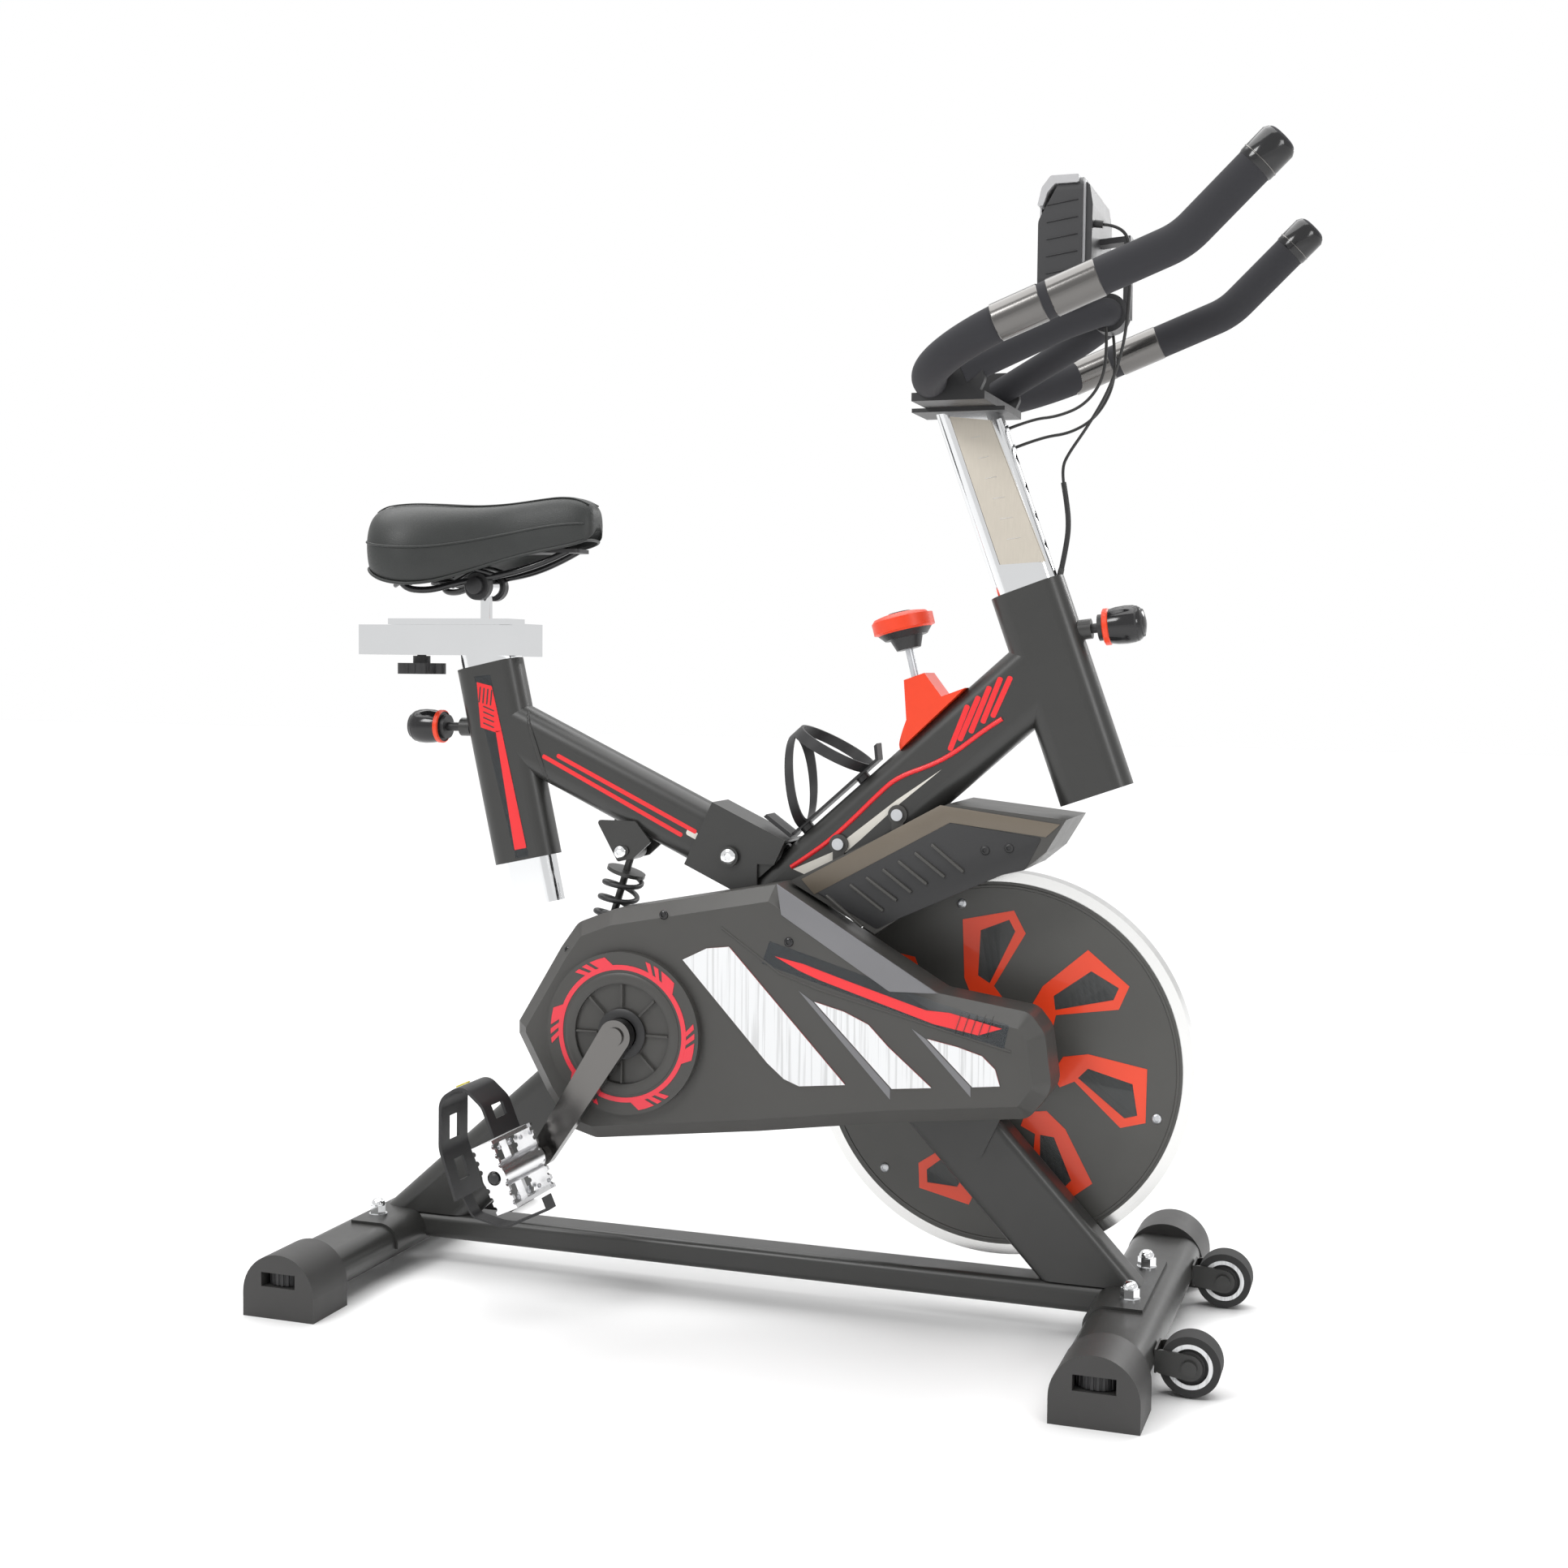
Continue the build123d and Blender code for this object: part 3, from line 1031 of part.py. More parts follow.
def handlebar():
    """Foam-covered U bar with a round rubber plug on each end."""
    ends = []
    for s in (-1, 1):
        tip = Vector(GRIP.X, s * BAR_HALF_WIDTH, GRIP.Z)
        back = (Vector(BEND.X, 0, BEND.Z) - GRIP).normalized()
        plug = rod(tip, tip - back * 8, BAR_R - 0.5)
        plug = fillet(plug.edges().sort_by(lambda e: e.center().X)[-1], 7)
        ends.append(plug)
    return group(bar_solid(), *ends)


def inner_solid():
    pts = [(INNER_START.X, -EAR_Y - 3, INNER_START.Z), (330, -50, 992), (366, -24, 1009), (366, 24, 1009),
           (330, 50, 992), (INNER_START.X, EAR_Y + 3, INNER_START.Z)]
    return sweep_round([Vector(*p) for p in pts], [60, 22, 22, 60], INNER_BAR_R)


def inner_bar():
    return inner_solid()


# ------------------------------------------------------------------ monitor
MONITOR_HALF = 60.0
MONITOR_POINTS = [(306, 1022), (306, 1090), (329, 1131), (348, 1131), (348, 1022)]
BUTTON_Z = 1045.0
BUTTON_R = 6.0


def monitor_case():
    """Case and back plate, and the bent bracket down to the inner bar."""
    case = slab(MONITOR_POINTS, -MONITOR_HALF, MONITOR_HALF, [10, 14, 6, 1, 1])
    front = Plane(origin=(290, 0, 1076.5), x_dir=(0, 1, 0), z_dir=(1, 0, 0))
    case &= extrude(front * RectangleRounded(2 * MONITOR_HALF, 109, 14), amount=80)
    case -= rod(vec(300, BUTTON_Z), vec(311, BUTTON_Z), BUTTON_R + GAP)
    back = [(348, 1026), (348, 1128), (354, 1122), (357, 1104), (356, 1030)]
    rear = slab(back, -MONITOR_HALF + 6, MONITOR_HALF - 6, 2)
    arm = slab([(356, 1080), (386, 1082), (386, 1004), (380, 1004), (380, 1076), (356, 1074)], -10, 10)
    grip = rod(vec(366, 1009, -12), vec(366, 1009, 12), INNER_BAR_R + 5)
    grip -= rod(vec(366, 1009, -30), vec(366, 1009, 30), INNER_BAR_R)
    arm -= rod(vec(366, 1009, -30), vec(366, 1009, 30), INNER_BAR_R)
    return group(case, rear, (arm + grip) - rear)


def monitor_button():
    return rod(vec(303.5, BUTTON_Z), vec(309.5, BUTTON_Z), BUTTON_R)


# ------------------------------------------------------------------ screws
def screws():
    """Screw heads: belt cover, guard and bottle cage."""
    found = []
    for x, z in GUARD_BOLTS:
        found.append(disc(vec(x, z), 6, -SIDE - 6.5, -SIDE - 3))
    return group(*found)


# ------------------------------------------------------------------ leads
LEAD_D = 3.0
SLEEVE_D = 5.4
SENSOR_LEAD = [(366, -46, 1086), (386, -46, 1083), (392, -43, 1059), (391, -38, 1029), (388, -31, 997),
               (381, -21, 965), (367, -11, 932), (346, -4, 900), (328, -1, 876), (320.921, 0, 862),
               (323.5, 0, 848)]
LEAD_SLEEVE = [(323.5, 0, 848), (327, 0, 829), (329.5, 0, 807), (327.5, 0, 786), (323.1, 0, 763.9)]
PULSE_WIRE_RIGHT = [(366, -20, 994), (367, -18, 968), (361, -13, 941), (343, -7, 921), (316, -3, 912),
                    (291.9, 0, 910.8), (268.4, 0, 902.4)]
PULSE_WIRE_LEFT = [(366, 20, 994), (370, 17, 965), (367, 12, 936), (352, 7, 910), (328, 3, 896),
                   (301.5, 0, 892.9), (275.2, 0, 883.5)]


def post_grommet(points):
    """Rubber grommet in the post's front face where a wire goes in."""
    end = Vector(*points[-1])
    normal = Vector(cos(radians(HEAD_ANGLE)), 0, sin(radians(HEAD_ANGLE)))
    return rod(end - normal * 3, end, 3.5)


def sleeve_grommet():
    """Grommet on the head tube's rim that holds the end of the sleeve."""
    end, before = Vector(*LEAD_SLEEVE[-1]), Vector(*LEAD_SLEEVE[-2])
    return rod(end - (before - end).normalized() * 9.5, end, 3.0)


def jack_plug():
    start = Vector(*SENSOR_LEAD[0])
    return rod(start - Vector(8.8, 0, -1.3), start, 3.6)


# ------------------------------------------------------------------ assembly
def build():
    nodes = {
        "stabilisers": group(stabiliser(-STAB_X), stabiliser(STAB_X),
                             saddle_plate(-STAB_X, 1), saddle_plate(STAB_X, -1)),
        "end_caps": group(*[end_cap(x, s) for x in (-STAB_X, STAB_X) for s in (-1, 1)]),
        "acorn_bolts": group(*[acorn_bolt(x, s * BOLT_Y) for x in (-STAB_X, STAB_X) for s in (-1, 1)]),
        "lower_rail": lower_rail(),
        "main_tube": main_tube(),
        "bottom_bracket": bottom_bracket(),
        "bearings": bearings(),
        "flywheel_leg": flywheel_leg(),
        "flywheel_bracket": flywheel_bracket(),
        "head_tube": head_tube(),
        "pivot_yoke": pivot_yoke(),
        "shock_mount": shock_mount(),
        "knob_boot": knob_boot(),
        "belt_cover_outer": belt_cover_outer(),
        "belt_cover_inner": belt_cover_inner(),
        "brake_guard": brake_guard(),
        "bottle_cage": bottle_cage(),
        "screws": screws(),
        "wheel_brackets": group(*wheel_bracket(-1), *wheel_bracket(1)),
        "drive_belt": drive_belt(),
        "crank_axle": crank_axle(),
        "crank_arms": crank_arms(),
        "pedal_right": pedal(-1),
        "pedal_left": pedal(1),
        "toe_clip_right": toe_clip(-1),
        "toe_clip_left": toe_clip(1),
        "flywheel": flywheel(),
        "flywheel_cover": flywheel_cover(),
        "flywheel_axle": flywheel_axle(),
        "brake_rod": brake_rod(),
        "resistance_knob": resistance_knob(),
        "seat_frame_tube": seat_frame_tube(),
        "seat_tube": seat_tube(),
        "shock_rod": shock_rod(),
        "shock_spring": shock_spring(),
        "rear_pull_pin": pull_pin(REAR_PIN_ROOT, rear_pin_dir, 72),
        "front_pull_pin": pull_pin(FRONT_PIN_ROOT, front_pin_dir, 62),
        "seat_post": seat_post(),
        "slider_rail": slider_rail(),
        "saddle_carriage": saddle_carriage(),
        "slider_knob": slider_knob(),
        "saddle_frame": saddle_frame(),
        "saddle_cushion": saddle_cushion(),
        "handlebar_post": handlebar_post(),
        "handlebar_clamp": handlebar_clamp(),
        "handlebar": handlebar(),
        "inner_bar": inner_bar(),
        "monitor_case": monitor_case(),
        "monitor_button": monitor_button(),
        "jack_plug": jack_plug(),
        "sensor_lead": cord("sensor_lead", SENSOR_LEAD, LEAD_D),
        "lead_sleeve": cord("lead_sleeve", LEAD_SLEEVE, SLEEVE_D),
        "pulse_wire_right": cord("pulse_wire_right", PULSE_WIRE_RIGHT, LEAD_D),
        "pulse_wire_left": cord("pulse_wire_left", PULSE_WIRE_LEFT, LEAD_D),
        "transport_wheel_right": transport_wheel(-1),
        "transport_wheel_left": transport_wheel(1),
    }
    for name, x in (("rear", -STAB_X), ("front", STAB_X)):
        for label, side in (("right", -1), ("left", 1)):
            nodes["levelling_foot_" + name + "_" + label] = levelling_foot(x, side)
    return nodes


CORDS = ("sensor_lead", "lead_sleeve", "pulse_wire_right", "pulse_wire_left", "jack_plug")


def main():
    nodes = build()
    boxes = [shape.bounding_box() for name, shape in nodes.items() if name not in CORDS]
    shift = -(min(b.min.X for b in boxes) + max(b.max.X for b in boxes)) / 2
    print("shift in X", round(shift, 4))
    os.makedirs("parts", exist_ok=True)
    for name, shape in nodes.items():
        export_step(Pos(shift, 0, 0) * shape, "parts/" + name + ".step")


main()
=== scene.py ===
"""Looks of an indoor cycling bike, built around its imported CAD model."""

import logging
import math
from dataclasses import dataclass, field
from enum import Enum
from typing import Any, Iterable, Sequence

import bmesh
import bpy
from mathutils import Matrix, Vector

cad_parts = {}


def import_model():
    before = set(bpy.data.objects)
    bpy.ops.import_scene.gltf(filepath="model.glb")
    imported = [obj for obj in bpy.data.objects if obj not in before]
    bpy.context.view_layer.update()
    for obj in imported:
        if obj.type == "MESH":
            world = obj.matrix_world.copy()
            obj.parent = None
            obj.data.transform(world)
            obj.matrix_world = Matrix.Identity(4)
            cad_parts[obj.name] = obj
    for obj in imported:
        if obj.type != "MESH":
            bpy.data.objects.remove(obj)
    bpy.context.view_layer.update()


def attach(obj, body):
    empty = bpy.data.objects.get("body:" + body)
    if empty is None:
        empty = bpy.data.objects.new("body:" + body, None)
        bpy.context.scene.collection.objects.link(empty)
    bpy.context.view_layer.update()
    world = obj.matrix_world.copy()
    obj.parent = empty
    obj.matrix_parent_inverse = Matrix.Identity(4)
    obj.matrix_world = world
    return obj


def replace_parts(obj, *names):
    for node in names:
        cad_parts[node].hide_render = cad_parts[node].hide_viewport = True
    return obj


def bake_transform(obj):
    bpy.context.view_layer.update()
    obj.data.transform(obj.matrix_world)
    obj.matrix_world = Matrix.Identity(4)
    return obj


LOG = logging.getLogger("bike")
MM = 0.001
Point2 = tuple[float, float]
Point3 = tuple[float, float, float]
Colour = tuple[float, float, float]
ROW_SHIFT = -47.4428  # from the drawings' x to the row frame's, mm
TUBE_SIDES = 12
SIDE_FACE = -20.0  # y of the frame tubes' right side, mm
RIGHT = Vector((0, -1, 0))
SIDES = ((-1, "right"), (1, "left"))


def row(x: float, y: float, z: float) -> Vector:
    """Point of the row frame in metres, from millimetres."""
    return Vector((x, y, z)) * MM


# ---------------------------------------------------------------- shader maths
class Num:
    """A number in a material's node tree, with the usual operators."""

    def __init__(self, graph: "Graph", socket: Any) -> None:
        """Keeps the tree and the socket or number."""
        self.graph = graph
        self.socket = socket

    def _math(self, operation: str, first: Any, second: Any) -> "Num":
        """Adds a Math node.

        Args:
            operation: the node's operation.
            first: first value or link.
            second: second value or link.

        Returns:
            The node's result.
        """
        node = self.graph.add("ShaderNodeMath", {"operation": operation}, {0: first, 1: second})
        return Num(self.graph, node.outputs[0])

    def __add__(self, other: Any) -> "Num":
        """self + other."""
        return self._math("ADD", self, other)

    __radd__ = __add__

    def __mul__(self, other: Any) -> "Num":
        """self * other."""
        return self._math("MULTIPLY", self, other)

    __rmul__ = __mul__

    def __sub__(self, other: Any) -> "Num":
        """self - other."""
        return self._math("SUBTRACT", self, other)

    def __rsub__(self, other: Any) -> "Num":
        """other - self."""
        return self._math("SUBTRACT", other, self)

    def __gt__(self, other: Any) -> "Num":
        """1 where self is greater than other."""
        return self._math("GREATER_THAN", self, other)


class Graph:
    """One material's node tree with a Principled shader."""

    def __init__(self, name: str) -> None:
        """Starts an empty material of that name."""
        self.material = bpy.data.materials.new(name)
        self.material.use_nodes = True
        self.tree = self.material.node_tree
        self.tree.nodes.clear()
        self.out = self.add("ShaderNodeOutputMaterial")
        self.shader = self.add("ShaderNodeBsdfPrincipled")
        self.tree.links.new(self.shader.outputs[0], self.out.inputs[0])
        self.place = self.add("ShaderNodeTexCoord").outputs["Object"]

    def add(self, kind: str, settings: dict[str, Any] | None = None,
            sockets: dict[Any, Any] | None = None) -> bpy.types.Node:
        """Adds any node.

        Args:
            kind: the node's type.
            settings: its own settings, set first; "stops" fills a colour ramp.
            sockets: values or links for its inputs, by name or index.

        Returns:
            The node.
        """
        node = self.tree.nodes.new(kind)
        for key, value in (settings or {}).items():
            if key == "stops":
                self._stops(node, value)
            else:
                setattr(node, key, value)
        for key, value in (sockets or {}).items():
            self.feed(node.inputs[key], value)
        return node

    def _stops(self, node: bpy.types.Node, stops: Sequence[tuple[float, float]]) -> None:
        """Sets a colour ramp's stops.

        Args:
            node: the ramp.
            stops: (position, grey) pairs.
        """
        elements = node.color_ramp.elements
        while len(elements) < len(stops):
            elements.new(0.5)
        for element, (position, grey) in zip(elements, stops):
            element.position = position
            element.color = (grey, grey, grey, 1)

    def feed(self, socket: bpy.types.NodeSocket, value: Any) -> None:
        """Links a value to an input, or sets it.

        Args:
            socket: the input.
            value: a number, a vector, a colour or a link.
        """
        value = value.socket if isinstance(value, Num) else value
        if isinstance(value, bpy.types.NodeSocket):
            self.tree.links.new(value, socket)
        else:
            socket.default_value = value

    def noise(self, scale: float, detail: float = 3.0, stretch: Colour = (1, 1, 1)) -> Num:
        """Noise on object coordinates.

        Args:
            scale: cells per metre.
            detail: octaves.
            stretch: scale of each axis.

        Returns:
            The noise, 0 to 1.
        """
        vector = self.add("ShaderNodeMapping", None, {"Vector": self.place, "Scale": stretch}).outputs[0]
        node = self.add("ShaderNodeTexNoise", None, {"Vector": vector, "Scale": scale, "Detail": detail})
        return Num(self, node.outputs[0])

    def cells(self, scale: float) -> Num:
        """Distance to the nearest Voronoi cell edge."""
        node = self.add("ShaderNodeTexVoronoi", {"feature": "DISTANCE_TO_EDGE"},
                        {"Vector": self.place, "Scale": scale})
        return Num(self, node.outputs[0])

    def axis(self, index: int) -> Num:
        """One object coordinate in metres."""
        node = self.add("ShaderNodeSeparateXYZ", None, {0: self.place})
        return Num(self, node.outputs[index])

    def ramp(self, value: Num, low: float, high: float) -> Num:
        """0 below low, 1 above high."""
        node = self.add("ShaderNodeMapRange", None, {0: value, 1: low, 2: high, 3: 0.0, 4: 1.0})
        return Num(self, node.outputs[0])

    def blend(self, factor: Num, first: Any, second: Any) -> bpy.types.NodeSocket:
        """Mixes two colours.

        Args:
            factor: share of the second, 0 to 1.
            first: colour or link at 0.
            second: colour or link at 1.

        Returns:
            The mixed colour's link.
        """
        one = first if isinstance(first, bpy.types.NodeSocket) else (*first, 1)
        two = second if isinstance(second, bpy.types.NodeSocket) else (*second, 1)
        node = self.add("ShaderNodeMix", {"data_type": "RGBA"}, {0: factor, 6: one, 7: two})
        return node.outputs[2]

    def bump(self, height: Num, strength: float, depth: float) -> None:
        """Feeds a height into the shader's normal."""
        node = self.add("ShaderNodeBump", None, {"Height": height, "Strength": strength, "Distance": depth})
        self.feed(self.shader.inputs["Normal"], node.outputs[0])

    def set(self, **values: Any) -> None:
        """Sets or links the shader's own sockets; underscores stand for spaces."""
        for key, value in values.items():
            self.feed(self.shader.inputs[key.replace("_", " ")], value)


def shade(colour: Colour, factor: float) -> Colour:
    """A colour, lighter or darker."""
    return tuple(min(1.0, c * factor) for c in colour)


@dataclass(frozen=True)
class Finish:
    """A surface finish; subclasses lay its detail into the nodes."""

    name: str
    colour: Colour
    rough: float = 0.5

    def dress(self, graph: Graph) -> None:
        """Lays colour and gloss variation shared by the plainer finishes.

        Args:
            graph: the material's nodes.
        """
        mottle = graph.noise(14, 4)
        graph.set(Base_Color=graph.blend(mottle, shade(self.colour, 0.88), shade(self.colour, 1.12)),
                  Roughness=self.rough - 0.05 + 0.1 * graph.noise(60, 3))

    def material(self) -> bpy.types.Material:
        """Makes the material, once.

        Returns:
            The finish as a material.
        """
        found = bpy.data.materials.get(self.name)
        if found:
            return found
        graph = Graph(self.name)
        self.dress(graph)
        return graph.material


@dataclass(frozen=True)
class PowderCoat(Finish):
    """Satin powder coat with a fine orange peel."""

    def dress(self, graph: Graph) -> None:
        """Adds the orange peel and a thin clear gloss.

        Args:
            graph: the material's nodes.
        """
        super().dress(graph)
        graph.set(Coat_Weight=0.12, Coat_Roughness=0.25, Specular_IOR_Level=0.5)
        graph.bump(graph.noise(700, 2) + 0.4 * graph.noise(1900, 2), 0.09, 0.0006)


@dataclass(frozen=True)
class Moulded(Finish):
    """Moulded plastic with a spark-eroded texture."""

    grain: float = 0.2

    def dress(self, graph: Graph) -> None:
        """Adds the fine mould texture."""
        super().dress(graph)
        graph.bump(graph.noise(1500, 3), self.grain, 0.0005)


@dataclass(frozen=True)
class Bright(Finish):
    """Plated metal with faint smears."""

    def dress(self, graph: Graph) -> None:
        """Adds smears to the gloss and slight tint changes.

        Args:
            graph: the material's nodes.
        """
        smear = graph.noise(22, 5, (1, 1, 0.3))
        graph.set(Metallic=1.0, Roughness=self.rough + 0.09 * smear,
                  Base_Color=graph.blend(graph.noise(9, 2), shade(self.colour, 0.93), self.colour))
        graph.bump(graph.noise(260, 2), 0.02, 0.0004)


@dataclass(frozen=True)
class Brushed(Finish):
    """Metal with fine parallel scratches along one axis."""

    along: Colour = (1, 40, 40)

    def dress(self, graph: Graph) -> None:
        """Adds the scratches.

        Args:
            graph: the material's nodes.
        """
        lines = graph.noise(90, 6, self.along)
        graph.set(Metallic=1.0, Roughness=self.rough + 0.16 * lines,
                  Base_Color=graph.blend(lines, shade(self.colour, 0.82), self.colour))
        graph.bump(lines, 0.05, 0.0004)


@dataclass(frozen=True)
class Turned(Finish):
    """Lathe-turned metal: rings about a cross axis, painted below a radius."""

    centre: Point2 = (0.0, 0.0)
    painted: float = 0.1865
    paint: Colour = (0.05, 0.05, 0.052)

    def dress(self, graph: Graph) -> None:
        """Adds concentric tool marks.

        Args:
            graph: the material's nodes.
        """
        dx, dz = graph.axis(0) - self.centre[0], graph.axis(2) - self.centre[1]
        radius = graph.add("ShaderNodeMath", {"operation": "SQRT"}, {0: dx * dx + dz * dz}).outputs[0]
        marks = graph.add("ShaderNodeTexNoise", {"noise_dimensions": "1D"},
                          {"W": radius, "Scale": 2600.0, "Detail": 2.0})
        mark = Num(graph, marks.outputs[0])
        rim = Num(graph, radius) > self.painted
        steel = graph.blend(mark, shade(self.colour, 0.8), self.colour)
        graph.set(Metallic=rim, Base_Color=graph.blend(rim, self.paint, steel),
                  Roughness=0.45 - (0.45 - self.rough) * rim + 0.08 * mark)
        graph.bump(mark, 0.04, 0.0003)


@dataclass(frozen=True)
class Hide(Finish):
    """Grained synthetic leather."""

    def dress(self, graph: Graph) -> None:
        """Adds pebble grain, creases and a sheen of wear.

        Args:
            graph: the material's nodes.
        """
        grain = graph.ramp(graph.cells(620), 0.0, 0.35)
        soft = graph.noise(45, 4)
        graph.set(Base_Color=graph.blend(soft, shade(self.colour, 0.8), shade(self.colour, 1.25)),
                  Roughness=self.rough + 0.14 * (1 - grain) + 0.08 * soft)
        graph.bump(grain + 0.35 * graph.noise(160, 4), 0.16, 0.0006)


@dataclass(frozen=True)
class Foam(Finish):
    """Dense foam sleeve with a skin of fine pores."""

    def dress(self, graph: Graph) -> None:
        """Adds pores.

        Args:
            graph: the material's nodes.
        """
        super().dress(graph)
        pores = graph.ramp(graph.cells(1500), 0.02, 0.2)
        graph.bump(pores + 0.6 * graph.noise(420, 3), 0.18, 0.0004)


@dataclass(frozen=True)
class Sticker(Finish):
    """Printed glossy film with slight ripples and print mottle."""

    def dress(self, graph: Graph) -> None:
        """Adds ripples and specks of dust under the film.

        Args:
            graph: the material's nodes.
        """
        speck = graph.noise(900, 2) > 0.72
        print_tone = graph.blend(graph.noise(30, 3), shade(self.colour, 0.9), shade(self.colour, 1.06))
        graph.set(Base_Color=graph.blend(speck * 0.12, shade(self.colour, 1.0), print_tone),
                  Roughness=self.rough + 0.08 * graph.noise(50, 3), Coat_Weight=0.3)
        graph.bump(graph.noise(70, 2), 0.05, 0.0005)


@dataclass(frozen=True)
class Streaked(Finish):
    """White film with fine grey drawn streaks along its length."""

    def dress(self, graph: Graph) -> None:
        """Adds the streaks.

        Args:
            graph: the material's nodes.
        """
        streak = graph.ramp(graph.noise(36, 4, (11, 1, 0.16)), 0.52, 0.62)
        graph.set(Base_Color=graph.blend(streak * 0.5, self.colour, (0.5, 0.5, 0.5)),
                  Roughness=self.rough + 0.1 * streak)
        graph.bump(streak, 0.06, 0.0003)


@dataclass(frozen=True)
class ClearFilm(Finish):
    """Nearly clear sticker film whose edge and ripples catch light."""

    def dress(self, graph: Graph) -> None:
        """Adds a cloudy transparency.

        Args:
            graph: the material's nodes.
        """
        cloud = graph.noise(26, 4)
        graph.set(Base_Color=graph.blend(cloud, shade(self.colour, 0.8), self.colour),
                  Roughness=self.rough, Alpha=0.14 + 0.2 * cloud)
        graph.bump(graph.noise(60, 3), 0.12, 0.0006)


@dataclass(frozen=True)
class TwoTone(Finish):
    """Moulded knob whose cap differs in colour above a plane along an axis."""

    cap: Colour = (0.8, 0.05, 0.02)
    axis: Colour = (0, 0, 1)
    level: float = 0.7

    def dress(self, graph: Graph) -> None:
        """Splits the colour at the level.

        Args:
            graph: the material's nodes.
        """
        height = graph.add("ShaderNodeVectorMath", {"operation": "DOT_PRODUCT"},
                           {0: graph.place, 1: self.axis})
        above = Num(graph, height.outputs["Value"]) > self.level
        mottle = graph.noise(40, 3)
        body = graph.blend(mottle, shade(self.colour, 0.85), shade(self.colour, 1.15))
        cap = graph.blend(mottle, shade(self.cap, 0.92), shade(self.cap, 1.05))
        graph.set(Base_Color=graph.blend(above, body, cap), Roughness=self.rough + 0.08 * mottle)
        graph.bump(graph.noise(1200, 2), 0.12, 0.0004)


class Look(Enum):
    """The bike's finishes."""

    FRAME = PowderCoat("satin_charcoal_paint", (0.03, 0.03, 0.0285), 0.36)
    COVER = Moulded("charcoal_shell", (0.058, 0.0565, 0.053), 0.42, 0.12)
    # painted highlight: a lighter grey that stands for light falling on the cover's up-facing chamfer and
    # window bevels
    COVER_PAINTED_HIGHLIGHT = Moulded("painted_highlight_grey", (0.19, 0.19, 0.2), 0.42, 0.12)
    TAUPE = Moulded("taupe_facet", (0.15, 0.125, 0.095), 0.45, 0.12)
    BLACK = Moulded("black_moulding", (0.018, 0.018, 0.019), 0.44, 0.2)
    CAP = Moulded("foot_cap_plastic", (0.04, 0.039, 0.038), 0.5, 0.3)
    RED = Moulded("orange_red_moulding", (0.86, 0.055, 0.012), 0.36, 0.06)
    CHROME = Bright("bright_chrome", (0.86, 0.87, 0.88), 0.05)
    DARK_CHROME = Bright("dark_chrome", (0.16, 0.155, 0.15), 0.16)
    STEEL = Brushed("zinc_steel", (0.62, 0.62, 0.63), 0.22)
    SATIN = Brushed("satin_post_face", (0.66, 0.61, 0.53), 0.3, (40, 40, 1))
    ALLOY = Bright("cast_alloy", (0.78, 0.78, 0.79), 0.2)
    RIM = Turned("turned_rim", (0.8, 0.8, 0.79), 0.16, (0.21456, 0.2605))
    DISC = PowderCoat("flywheel_disc_paint", (0.07, 0.069, 0.064), 0.38)
    RUBBER = Foam("wheel_rubber", (0.02, 0.02, 0.02), 0.6)
    FOAM = Foam("grip_foam", (0.022, 0.021, 0.018), 0.4)
    GLOSS_BLACK = Moulded("gloss_end_tape", (0.012, 0.012, 0.013), 0.14, 0.03)
    HIDE = Hide("saddle_hide", (0.02, 0.022, 0.021), 0.33)
    PRINT_RED = Sticker("red_print", (0.86, 0.016, 0.022), 0.32)
    PRINT_ORANGE = Sticker("orange_red_print", (0.93, 0.06, 0.012), 0.34)
    PRINT_PINK = Sticker("pink_red_print", (0.84, 0.03, 0.055), 0.35)
    PRINT_SILVER = Sticker("silver_print", (0.78, 0.75, 0.68), 0.25)
    PRINT_YELLOW = Sticker("yellow_print", (0.85, 0.72, 0.06), 0.35)
    WINDOW = Streaked("streaked_white_film", (0.86, 0.87, 0.88), 0.3)
    DARK_FILM = ClearFilm("dark_film", (0.06, 0.075, 0.09), 0.1)
    KNOB = TwoTone("two_tone_knob", (0.018, 0.018, 0.019), 0.36, (0.86, 0.055, 0.012),
                   (-0.2419, 0, 0.9703), 0.652)
    MONITOR = Moulded("monitor_dark", (0.032, 0.032, 0.034), 0.42, 0.12)
    MONITOR_PALE = Moulded("monitor_pale_back", (0.5, 0.5, 0.51), 0.38, 0.1)
    SCREEN = Moulded("display_glass", (0.05, 0.06, 0.055), 0.08, 0.01)
    CORD = Moulded("cord_jacket", (0.012, 0.012, 0.012), 0.4, 0.05)

    def on(self, piece: bpy.types.Object) -> bpy.types.Object:
        """Puts the finish on a piece, in place of any other.

        Args:
            piece: mesh or curve object.

        Returns:
            The same piece.
        """
        piece.data.materials.clear()
        piece.data.materials.append(self.value.material())
        return piece


# ---------------------------------------------------------------- mesh tools
def stand(name: str, data: Any) -> bpy.types.Object:
    """Puts a new object for some data into the scene.

    Args:
        name: the object's name.
        data: its mesh, curve, lamp or camera.

    Returns:
        The object.
    """
    thing = bpy.data.objects.new(name, data)
    bpy.context.scene.collection.objects.link(thing)
    return thing


def soften(bm: bmesh.types.BMesh, geom: Sequence[Any], offset: float, segments: int = 2,
           affect: str = "EDGES") -> None:
    """Rounds edges or corners off; the offset is in millimetres."""
    bmesh.ops.bevel(bm, geom=geom, offset=offset * MM, segments=segments, profile=0.5, affect=affect,
                    material=-1)


